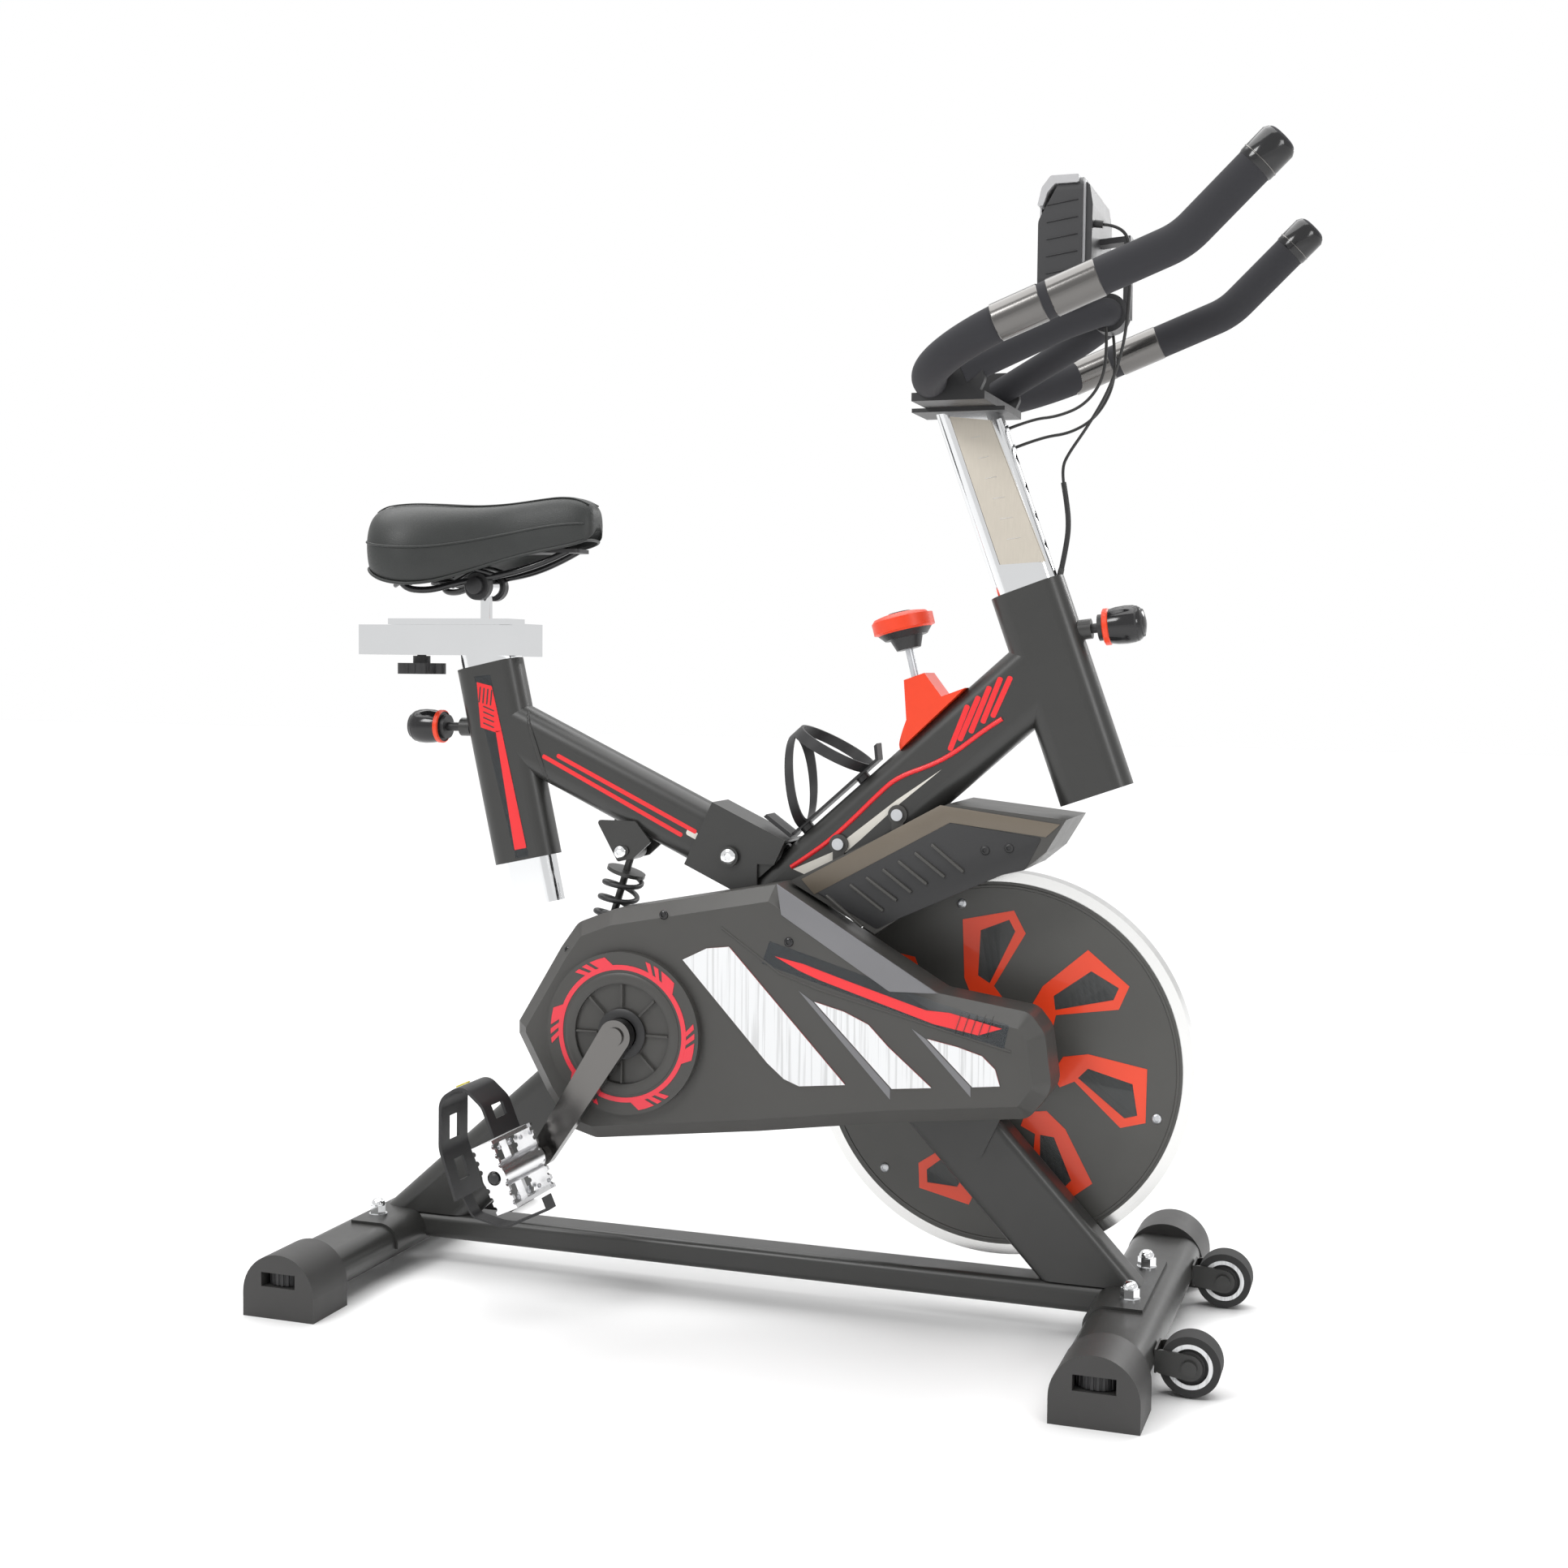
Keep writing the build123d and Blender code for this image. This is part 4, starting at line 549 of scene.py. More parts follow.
def piece_from(bm: bmesh.types.BMesh, name: str, look: Look, body: str,
               smooth: float = 40) -> bpy.types.Object:
    """Turns a bmesh into a piece that rides on a body.

    Args:
        bm: the finished bmesh, in metres in the row frame.
        name: the piece's name.
        look: its finish.
        body: the CAD body it rides on; empty leaves it free.
        smooth: edges flatter than this many degrees shade smooth.

    Returns:
        The new object.
    """
    bmesh.ops.recalc_face_normals(bm, faces=bm.faces)
    mesh = bpy.data.meshes.new(name)
    bm.to_mesh(mesh)
    bm.free()
    mesh.shade_smooth()
    mesh.set_sharp_from_angle(angle=math.radians(smooth))
    piece = look.on(stand(name, mesh))
    if body:
        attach(piece, body)
    LOG.info("%s: %d faces on %s", name, len(mesh.polygons), body or "no body yet")
    return piece


def outline_loop(bm: bmesh.types.BMesh, points: Sequence[Point2], y: float) -> list[bmesh.types.BMEdge]:
    """Closed loop of edges through (x, z) points in millimetres at one y."""
    verts = [bm.verts.new(row(x, y, z)) for x, z in points]
    return [bm.edges.new((verts[i - 1], verts[i])) for i in range(len(verts))]


def thicken(bm: bmesh.types.BMesh, move: Vector) -> None:
    """Extrudes every face of a flat shape.

    Args:
        bm: the flat shape.
        move: how far and where to, in metres.
    """
    grown = bmesh.ops.extrude_face_region(bm, geom=list(bm.faces))
    verts = [v for v in grown["geom"] if isinstance(v, bmesh.types.BMVert)]
    bmesh.ops.translate(bm, verts=verts, vec=move)


def plate(points: Sequence[Point2], y: float, thick: float, corner: float = 0.0,
          hole: Sequence[Point2] = (), edge: float = 0.0) -> bmesh.types.BMesh:
    """Flat plate standing across the bike.

    Args:
        points: (x, z) outline in millimetres.
        y: the side that lies on the bike.
        thick: thickness along y, signed.
        corner: rounding of the outline's corners.
        hole: outline of one opening.
        edge: rounding of the outer face's rim.

    Returns:
        The plate as a bmesh.
    """
    bm = bmesh.new()
    edges = outline_loop(bm, points, y)
    if corner:
        soften(bm, list(bm.verts), corner, 5, "VERTICES")
        edges = list(bm.edges)
    if hole:
        edges = edges + outline_loop(bm, hole, y)
    bmesh.ops.triangle_fill(bm, use_beauty=True, use_dissolve=True, edges=edges)
    thicken(bm, Vector((0, thick * MM, 0)))
    if edge:
        bmesh.ops.recalc_face_normals(bm, faces=bm.faces)
        outer = (y + thick) * MM
        rim = [e for e in bm.edges if all(abs(v.co.y - outer) < 1e-6 for v in e.verts)
               and e.calc_face_angle(0) > 0.5]
        soften(bm, rim, edge)
    return bm


def lathe(profile: Sequence[Point2], origin: Vector, axis: Vector, steps: int = 48) -> bmesh.types.BMesh:
    """Spins an (r, height) profile in millimetres about an axis.

    Args:
        profile: open profile; its ends may lie on the axis.
        origin: where height is 0, in metres.
        axis: direction of height.
        steps: segments of the turn.

    Returns:
        The turned shape as a bmesh.
    """
    bm = bmesh.new()
    verts = [bm.verts.new((r * MM, 0, h * MM)) for r, h in profile]
    edges = [bm.edges.new(pair) for pair in zip(verts, verts[1:])]
    bmesh.ops.spin(bm, geom=verts + edges, cent=(0, 0, 0), axis=(0, 0, 1), angle=math.tau, steps=steps,
                   use_merge=True)
    bmesh.ops.remove_doubles(bm, verts=bm.verts, dist=1e-6)
    turn = axis.to_track_quat("Z", "Y").to_matrix().to_4x4()
    bmesh.ops.transform(bm, matrix=Matrix.Translation(origin) @ turn, verts=bm.verts)
    return bm


def block(size: Vector) -> bmesh.types.BMesh:
    """Box about the origin, its size in metres."""
    bm = bmesh.new()
    bmesh.ops.create_cube(bm, size=1)
    bmesh.ops.scale(bm, vec=size, verts=bm.verts)
    return bm


def bar(start: Vector, end: Vector, width: float, depth: float, edge: float) -> bmesh.types.BMesh:
    """Straight bar with rounded edges.

    Args:
        start: middle of one end, in metres.
        end: middle of the other end, in metres.
        width: across, in millimetres.
        depth: the other way across, in millimetres.
        edge: rounding of the edges, in millimetres.

    Returns:
        The bar as a bmesh.
    """
    bm = block(Vector((width * MM, depth * MM, (end - start).length)))
    soften(bm, list(bm.edges), edge)
    turn = (end - start).to_track_quat("Z", "Y").to_matrix().to_4x4()
    bmesh.ops.transform(bm, matrix=Matrix.Translation((start + end) / 2) @ turn, verts=bm.verts)
    return bm


def join(parts: Iterable[bmesh.types.BMesh]) -> bmesh.types.BMesh:
    """Gathers several bmeshes into one.

    Args:
        parts: the bmeshes, which are used up.

    Returns:
        The gathered bmesh.
    """
    whole = bmesh.new()
    for part in parts:
        mesh = bpy.data.meshes.new("part")
        part.to_mesh(mesh)
        part.free()
        whole.from_mesh(mesh)
        bpy.data.meshes.remove(mesh)
    return whole


def line(name: str, points: Sequence[Vector], radius: float, look: Look, body: str,
         closed: bool = False, kind: str = "NURBS") -> bpy.types.Object:
    """Round line through points, such as a seam, a bead or a cord.

    Args:
        name: the piece's name.
        points: control points in metres.
        radius: in millimetres.
        look: its finish.
        body: the CAD body it rides on.
        closed: whether it runs back to its start.
        kind: the spline's type.

    Returns:
        The curve object.
    """
    curve = bpy.data.curves.new(name, "CURVE")
    curve.dimensions = "3D"
    curve.bevel_depth = radius * MM
    curve.bevel_resolution = 4
    curve.resolution_u = 8
    curve.use_fill_caps = True
    spline = curve.splines.new(kind)
    spline.points.add(len(points) - 1)
    for knot, point in zip(spline.points, points):
        knot.co = (*point, 1)
    spline.use_cyclic_u = closed
    if kind == "NURBS":
        spline.order_u = 3
        spline.use_endpoint_u = not closed
    piece = look.on(stand(name, curve))
    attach(piece, body)
    LOG.info("%s: line of %d points on %s", name, len(points), body)
    return piece


def polar(centre: Point2, radius: float, degrees: float) -> Point2:
    """Point at a radius and angle about a centre, in the side view."""
    angle = math.radians(degrees)
    return centre[0] + radius * math.cos(angle), centre[1] + radius * math.sin(angle)


# ---------------------------------------------------------------- the studio
@dataclass
class Studio:
    """Camera, pale floor and soft lights."""

    eye: Point3 = (0.6514525, -1.9414298, 0.6656376)
    yaw: float = 0.3290929
    pitch: float = -0.0600586
    roll: float = 0.0101802
    lens: float = 45.341
    floor_size: float = 30.0
    sun: float = 3.1
    mirrored: float = 0.8
    ambient: float = 0.25

    def camera(self) -> None:
        """Stands the camera level with the bike's right side."""
        data = bpy.data.cameras.new("camera")
        data.sensor_width, data.lens, data.clip_end = 36.0, self.lens, 100.0
        camera = stand("camera", data)
        ahead = Vector((-math.sin(self.yaw) * math.cos(self.pitch),
                        math.cos(self.yaw) * math.cos(self.pitch), math.sin(self.pitch)))
        right = Vector((math.cos(self.yaw), math.sin(self.yaw), 0))
        up = right.cross(ahead)
        side = right * math.cos(self.roll) + up * math.sin(self.roll)
        top = up * math.cos(self.roll) - right * math.sin(self.roll)
        turn = Matrix((side, top, -ahead)).transposed().to_4x4()
        camera.matrix_world = Matrix.Translation(self.eye) @ turn
        bpy.context.scene.camera = camera

    def floor(self) -> None:
        """Lays the pale floor."""
        bm = bmesh.new()
        bmesh.ops.create_grid(bm, x_segments=1, y_segments=1, size=self.floor_size / 2)
        mesh = bpy.data.meshes.new("floor")
        bm.to_mesh(mesh)
        bm.free()
        graph = Graph("pale_floor")
        graph.set(Base_Color=(0.93, 0.93, 0.93, 1), Roughness=0.55, Specular_IOR_Level=0.2)
        mesh.materials.append(graph.material)
        stand("floor", mesh)

    def light(self, name: str, place: Point3, aim: Point3, size: float, power: float) -> None:
        """Hangs one soft square light.

        Args:
            name: its name.
            place: where it hangs, in metres.
            aim: the point it faces.
            size: its side in metres.
            power: in watts.
        """
        data = bpy.data.lights.new(name, "AREA")
        data.size, data.energy = size, power
        lamp = stand(name, data)
        turn = (Vector(place) - Vector(aim)).to_track_quat("Z", "Y").to_matrix().to_4x4()
        lamp.matrix_world = Matrix.Translation(place) @ turn

    def overhead(self) -> None:
        """Hangs the broad even light that whitens the floor."""
        data = bpy.data.lights.new("overhead", "SUN")
        data.energy, data.angle = self.sun, math.radians(75)
        lamp = stand("overhead", data)
        lamp.rotation_euler = (math.radians(-8), math.radians(-10), 0)

    def world(self) -> None:
        """White surroundings that light the bike only softly."""
        world = bpy.data.worlds.new("studio")
        world.use_nodes = True
        tree = world.node_tree
        back = tree.nodes["Background"]
        seen = tree.nodes.new("ShaderNodeLightPath")
        mirrored = tree.nodes.new("ShaderNodeMapRange")
        mirrored.inputs[3].default_value, mirrored.inputs[4].default_value = self.ambient, self.mirrored
        tree.links.new(seen.outputs["Is Glossy Ray"], mirrored.inputs[0])
        power = tree.nodes.new("ShaderNodeMapRange")
        power.inputs[4].default_value = 1.0
        tree.links.new(mirrored.outputs[0], power.inputs[3])
        tree.links.new(seen.outputs["Is Camera Ray"], power.inputs[0])
        tree.links.new(power.outputs[0], back.inputs[1])
        back.inputs[0].default_value = (1, 1, 1, 1)
        bpy.context.scene.world = world

    def build(self) -> None:
        """Sets up everything around the bike."""
        self.camera()
        self.floor()
        self.light("key", (-1.3, -2.4, 2.5), (0, 0, 0.5), 0.9, 34)
        self.light("fill", (2.3, -1.6, 1.5), (0.1, 0, 0.6), 0.7, 12)
        self.light("rim", (1.5, 2.2, 1.9), (0, 0, 0.6), 0.9, 26)
        self.overhead()
        self.world()
        bpy.context.scene.view_settings.view_transform = "Standard"
        LOG.info("studio ready")


# ---------------------------------------------------------------- cords
@dataclass
class Cord:
    """Free lead along a route of points in the drawings' millimetres."""

    name: str
    node: str
    route: Sequence[Point3]
    diameter: float
    length: float
    body: str = "handlebar_column"
    plug: Sequence[str] = ()

    def knots(self) -> list[Vector]:
        """The route in the row frame, in metres."""
        return [row(x + ROW_SHIFT, y, z) for x, y, z in self.route]

    def ride(self) -> None:
        """Makes the lead as a curve that rides on its body."""
        piece = line(self.name, self.knots(), self.diameter / 2, Look.CORD, self.body)
        self.declare(piece)

    def bend(self, start: Vector, end: Vector) -> None:
        """Makes the lead as a fixed tube along its route, with no body.

        Args:
            start: not used; meant as the point up to which it follows the body.
            end: not used; meant as the point from which it follows the frame.
        """
        guide = line(self.name + "_line", self.knots(), 0.0, Look.CORD, self.body)
        mesh = bpy.data.meshes.new_from_object(guide)
        path = [v.co.copy() for v in mesh.vertices]
        curve = guide.data
        bpy.data.objects.remove(guide)
        bpy.data.curves.remove(curve)
        bpy.data.meshes.remove(mesh)
        piece = tube(self.name, path, self.diameter / 2, Look.CORD)
        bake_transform(piece)
        self.declare(piece)

    def declare(self, piece: bpy.types.Object) -> None:
        """Args:
            piece: the lead.
        """
        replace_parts(piece, self.node)


def tube(name: str, path: Sequence[Vector], radius: float, look: Look) -> bpy.types.Object:
    """Mesh tube along a path, with closed ends and no body.

    Args:
        name: the piece's name.
        path: centre points in metres.
        radius: in millimetres.
        look: its finish.

    Returns:
        The tube.
    """
    bm = bmesh.new()
    rings = []
    side = Vector((0, 1, 0))
    for index, point in enumerate(path):
        ahead = (path[min(index + 1, len(path) - 1)] - path[max(index - 1, 0)]).normalized()
        side = (side - ahead * side.dot(ahead)).normalized()
        other = ahead.cross(side)
        rings.append([bm.verts.new(point + (side * math.cos(a) + other * math.sin(a)) * radius * MM)
                      for a in (math.tau * k / TUBE_SIDES for k in range(TUBE_SIDES))])
    for ring, following in zip(rings, rings[1:]):
        for k in range(TUBE_SIDES):
            bm.faces.new((ring[k - 1], ring[k], following[k], following[k - 1]))
    bm.faces.new(rings[0])
    bm.faces.new(rings[-1])
    return piece_from(bm, name, look, "", 60)


@dataclass
class Cords:
    """The monitor's leads and the lead's sleeve."""

    def build(self) -> None:
        """Runs all four."""
        Cord("sensor_cord", "sensor_lead",
             [(366, -46, 1086), (386, -46, 1083), (392, -43, 1059), (391, -38, 1029), (388, -31, 997),
              (381, -21, 965), (367, -11, 932), (346, -4, 900), (328, -1, 876), (321.5, 0, 862),
              (323.5, 0, 848)], 3.0, 275.6, plug=("jack_plug",)).bend(row(343, -38, 1029), row(276, 0, 848))
        Cord("sleeve_cord", "lead_sleeve",
             [(323.1, 0, 763.9), (327.5, 0, 786), (329.5, 0, 807), (327, 0, 829), (323.5, 0, 848)],
             5.4, 85.0, "root").ride()
        Cord("pulse_cord_right", "pulse_wire_right",
             [(366, -20, 994), (367, -18, 968), (361, -13, 941), (343, -7, 921), (316, -3, 912),
              (291.9, 0, 910.8), (268.4, 0, 902.4)], 3.0, 158.2).ride()
        Cord("pulse_cord_left", "pulse_wire_left",
             [(366, 20, 994), (370, 17, 965), (367, 12, 936), (352, 7, 910), (328, 3, 896),
              (301.5, 0, 892.9), (275.2, 0, 883.5)], 3.0, 170.7).ride()


# ---------------------------------------------------------------- CAD finishes
@dataclass
class Coats:
    """Finishes of the CAD's own pieces."""

    coats: dict[str, Look] = field(default_factory=lambda: {
        "stabilisers": Look.FRAME, "end_caps": Look.CAP, "acorn_bolts": Look.CHROME, "lower_rail": Look.FRAME,
        "main_tube": Look.FRAME, "bottom_bracket": Look.STEEL, "bearings": Look.STEEL,
        "flywheel_leg": Look.FRAME, "flywheel_bracket": Look.FRAME, "head_tube": Look.FRAME,
        "pivot_yoke": Look.FRAME, "shock_mount": Look.FRAME, "knob_boot": Look.RED,
        "belt_cover_outer": Look.COVER, "belt_cover_inner": Look.COVER, "brake_guard": Look.COVER,
        "bottle_cage": Look.BLACK, "screws": Look.STEEL, "wheel_brackets": Look.FRAME,
        "drive_belt": Look.RUBBER, "flywheel": Look.RIM, "flywheel_cover": Look.DISC,
        "flywheel_axle": Look.STEEL, "crank_axle": Look.STEEL, "crank_arms": Look.DARK_CHROME,
        "pedal_right": Look.ALLOY, "pedal_left": Look.ALLOY, "toe_clip_right": Look.BLACK,
        "toe_clip_left": Look.BLACK, "brake_rod": Look.STEEL, "resistance_knob": Look.KNOB,
        "seat_frame_tube": Look.FRAME, "seat_tube": Look.FRAME, "shock_rod": Look.FRAME,
        "shock_spring": Look.BLACK, "rear_pull_pin": Look.BLACK, "front_pull_pin": Look.BLACK,
        "seat_post": Look.CHROME, "slider_rail": Look.CHROME, "saddle_carriage": Look.CHROME,
        "slider_knob": Look.BLACK, "saddle_frame": Look.BLACK, "handlebar_post": Look.CHROME,
        "handlebar_clamp": Look.BLACK, "handlebar": Look.FOAM, "inner_bar": Look.FOAM,
        "monitor_case": Look.MONITOR, "jack_plug": Look.CORD, "monitor_button": Look.MONITOR_PALE,
        "transport_wheel_right": Look.RUBBER, "transport_wheel_left": Look.RUBBER,
        "levelling_foot_rear_right": Look.BLACK, "levelling_foot_rear_left": Look.BLACK,
        "levelling_foot_front_right": Look.BLACK, "levelling_foot_front_left": Look.BLACK})

    def build(self) -> None:
        """Gives every CAD piece its finish."""
        for name, look in self.coats.items():
            for slot in bpy.data.objects[name].material_slots:
                slot.material = look.value.material()
        LOG.info("%d CAD pieces coated", len(self.coats))


# ---------------------------------------------------------------- saddle
@dataclass
class Saddle:
    """Padded saddle lofted through its sections."""

    stations: Sequence[tuple[float, float, float, float]] = (
        (-474, 42, 822, 779), (-470, 62, 829, 768), (-457, 80, 834, 757), (-436, 88, 837, 749),
        (-410, 88, 838, 746), (-384, 76, 836.5, 749), (-357, 58, 835, 759), (-331, 43, 836, 769),
        (-306, 34, 838.5, 777), (-280, 30, 842, 783), (-258, 28, 844, 787), (-240, 25, 841.5, 791),
        (-229, 20, 835, 796), (-223, 13, 827, 802))
    half: Sequence[Point2] = (
        (0, 0.955), (0.11, 0.985), (0.3, 1.0), (0.58, 0.965), (0.8, 0.86), (0.94, 0.67), (1.0, 0.44),
        (0.985, 0.2), (0.93, 0.02), (0.86, 0.0), (0.76, 0.16), (0.5, 0.3), (0, 0.32))

    pan: Sequence[Point2] = (
        (-466, -46), (-452, -72), (-400, -74), (-330, -30), (-240, -16), (-240, 16), (-330, 30), (-400, 74),
        (-452, 72), (-466, 46))
    pan_height: float = 783.0
    rail: Sequence[Point3] = (
        (-252, 12, 786), (-272, 14, 776), (-310, 20, 763), (-345, 20, 757), (-382, 22, 751), (-410, 34, 742),
        (-436, 46, 745), (-438, 48, 760))
    brace: Sequence[Point3] = (
        (-338, 20, 760), (-372, 40, 772), (-404, 54, 766), (-430, 56, 752), (-446, 40, 748))
    cheek: Sequence[Point2] = (
        (0, 0), (14, 0), (15.5, 1.5), (15.5, 9.5), (14, 11), (9.5, 11), (9.5, 17), (8, 18), (0, 18))
    clamp: Point3 = (-356.7, 13, 748)
    spring: Point3 = (-436, 47, 750)
    spring_radius: float = 13.0

    def ring(self, station: tuple[float, float, float, float]) -> list[Vector]:
        """Works one section out.

        Args:
            station: its x, half width, top and lowest height, in millimetres.

        Returns:
            Its points, round from the top.
        """
        x, width, top, low = station
        right = [row(x, -u * width, low + v * (top - low)) for u, v in self.half]
        left = [Vector((p.x, -p.y, p.z)) for p in reversed(right[1:-1])]
        return right + left

    def cushion(self) -> bpy.types.Object:
        """Lofts, caps and smooths the padding.

        Returns:
            The padding.
        """
        bm = bmesh.new()
        rings = [[bm.verts.new(p) for p in self.ring(s)] for s in self.stations]
        for ring, following in zip(rings, rings[1:]):
            for k in range(len(ring)):
                bm.faces.new((ring[k - 1], ring[k], following[k], following[k - 1]))
        bm.faces.new(rings[0])
        bm.faces.new(rings[-1])
        cushion = piece_from(bm, "saddle_padding", Look.HIDE, "saddle", 180)
        smooth = cushion.modifiers.new("smooth", "SUBSURF")
        smooth.levels = smooth.render_levels = 2
        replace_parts(cushion, "saddle_cushion")
        return cushion

    def seam(self, name: str, index: int, swell: float, radius: float, sides: Sequence[int]) -> None:
        """Runs a seam along one height of the sections.

        Args:
            name: the piece's name.
            index: which section point it follows.
            swell: how far it stands out sideways.
            radius: in millimetres.
            sides: -1 and 1 make one closed seam; one side makes an open one.
        """
        u, v = self.half[index]
        rows = {side: [row(x, side * u * w * swell, z0 + v * (z1 - z0))
                       for x, w, z1, z0 in self.stations[1:-1]] for side in sides}
        points = rows[sides[0]]
        closed = len(sides) > 1
        if closed:
            points = points + list(reversed(rows[sides[1]]))
        line(name, points, radius, Look.HIDE, "saddle", closed)

    def hardware(self) -> None:
        """Makes the rails, the rear springs, the clamp and the pan under the padding."""
        pan = plate(self.pan, 0, 4, 6)
        turn = Matrix(((1, 0, 0, 0), (0, 0, 1, 0), (0, 1, 0, self.pan_height * MM), (0, 0, 0, 1)))
        bmesh.ops.transform(pan, matrix=turn, verts=pan.verts)
        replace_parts(piece_from(pan, "saddle_pan", Look.BLACK, "saddle"), "saddle_frame")
        for side, name in SIDES:
            self.wire(f"saddle_rail_{name}", self.rail, side, 3.6)
            self.wire(f"saddle_brace_{name}", self.brace, side, 2.6)
            x, y, z = self.spring
            turns = [math.tau * step / 6 for step in range(31)]
            coil = [(x + self.spring_radius * math.cos(t), y + side * self.spring_radius * math.sin(t),
                     z + 0.95 * step) for step, t in enumerate(turns)]
            self.wire(f"saddle_spring_{name}", coil, side, 2.2)
            x, y, z = self.clamp
            cheek = lathe(self.cheek, row(x, side * y, z), Vector((0, side, 0)), 40)
            piece_from(cheek, f"saddle_clamp_{name}", Look.BLACK, "saddle")

    def wire(self, name: str, points: Sequence[Point3], side: int, radius: float) -> None:
        """Bends one wire of the saddle, on the right (-1) or the left (1)."""
        line(name, [row(x, side * y, z) for x, y, z in points], radius, Look.GLOSS_BLACK, "saddle")

    def build(self) -> None:
        """Makes the padding, its seams and what carries it."""
        self.cushion()
        self.hardware()
        self.seam("saddle_piping", 6, 0.985, 1.5, (-1, 1))
        self.seam("saddle_lower_welt", 8, 1.0, 1.7, (-1, 1))
        self.seam("saddle_seam_right", 3, 0.99, 0.8, (-1,))
        self.seam("saddle_seam_left", 3, 0.99, 0.8, (1,))


# ---------------------------------------------------------------- belt cover
@dataclass
class BeltCover:
    """Printed windows, swoosh and grooves on the belt cover's face; the grooves' bevels and the upper facet
    are a lighter grey that is painted highlight.
    """

    face: float = -88.0
    film: float = -0.5
    windows: Sequence[Sequence[Point2]] = (
        ((-88, 366), (-62, 379), (-38, 382), (86, 251), (38, 246), (22, 252), (4, 267)),
        ((53, 332), (84, 324), (109, 313), (130, 292), (174, 255), (134, 251)),
        ((169, 303), (200, 297), (224, 290), (237, 278), (242, 262), (215, 259)))
    # window bevels, laid in lighter grey as painted highlight
    bevels: Sequence[Sequence[Point2]] = (
        ((36, 342), (51, 332), (132, 251), (132, 240)), ((153, 312), (167, 303), (213, 259), (213, 249)))
    # upper chamfer, laid in lighter grey as painted highlight
    facet: Sequence[Point2] = ((12, 448), (179, 348), (130, 347), (17, 417))
    crest: Sequence[Point2] = ((11, 375), (41, 369), (83, 356), (167, 331), (191, 330), (243, 318),
                               (220, 310), (175, 318), (58, 354), (37, 362))
    band: Sequence[Point2] = ((5, 390), (-3, 367), (245, 297), (250, 322), (183, 338))
    ridge: Sequence[Point2] = ((-47, 401), (16, 358), (58, 344), (252, 296))
    screw_places: Sequence[Point3] = ((-109.4, -88, 410.6), (-219.6, -80, 366.9), (-266.1, -76, 287.7),
                                      (25.3, -88, 390))
    slits: int = 5

    def inset(self, points: Sequence[Point2], depth: float) -> bmesh.types.BMesh:
        """Draws an outline in.

        Args:
            points: (x, z) outline in millimetres.
            depth: how far in, in millimetres.

        Returns:
            The face, given body.
        """
        bm = bmesh.new()
        bmesh.ops.triangle_fill(bm, edges=outline_loop(bm, points, self.face + 2 * self.film),
                                use_beauty=True, use_dissolve=True)
        bmesh.ops.dissolve_limit(bm, verts=bm.verts, edges=bm.edges, angle_limit=0.01)
        rim = bmesh.ops.inset_region(bm, faces=bm.faces, thickness=depth * MM, use_even_offset=True)
        bmesh.ops.delete(bm, geom=rim["faces"], context="FACES")
        thicken(bm, Vector((0, self.film * MM, 0)))
        return bm

    def build(self) -> None:
        """Lays every print and screw."""
        for number, points in enumerate(self.windows, 1):
            piece_from(plate(points, self.face, 2 * self.film, 2), f"window_border_{number}",
                       Look.PRINT_RED, "root")
            piece_from(self.inset(points, 3.0), f"window_{number}", Look.WINDOW, "root")
        # bevels and upper facet: lighter grey plates as painted highlight on faces that catch the light
        for number, points in enumerate(self.bevels, 1):
            piece_from(plate(points, self.face, -0.4), f"window_groove_painted_highlight_{number}", Look.COVER_PAINTED_HIGHLIGHT, "root")
        piece_from(plate(self.facet, self.face, -1.2, edge=0.6), "upper_facet_painted_highlight", Look.COVER_PAINTED_HIGHLIGHT, "root")
        piece_from(plate(self.band, self.face, -0.3), "swoosh_film", Look.DARK_FILM, "root")
        piece_from(plate(self.crest, self.face, -0.7), "swoosh", Look.PRINT_RED, "root")
        y = self.face - 0.9
        slits = [bar(row(196 + 8 * k, y, 309), row(203 + 8 * k, y, 330), 1.6, 0.5, 0.1)
                 for k in range(self.slits)]
        piece_from(join(slits), "swoosh_slits", Look.COVER, "root")
        ridge = [row(x, self.face, z) for x, z in self.ridge]
        line("cover_ridge", ridge, 1.2, Look.COVER, "root", kind="POLY")
        heads = [screw_head(row(*place), RIGHT, 4.8) for place in self.screw_places]
        piece_from(join(heads), "cover_screws", Look.GLOSS_BLACK, "root")


def screw_head(place: Vector, axis: Vector, radius: float) -> bmesh.types.BMesh:
    """Domed screw head with a socket recess; radius in millimetres."""
    r = radius
    profile = [(r, 0), (r, 0.9), (r * 0.85, 1.8), (r * 0.5, 2.2), (r * 0.46, 0.9), (0, 0.8)]
    return lathe(profile, place, axis, 24)


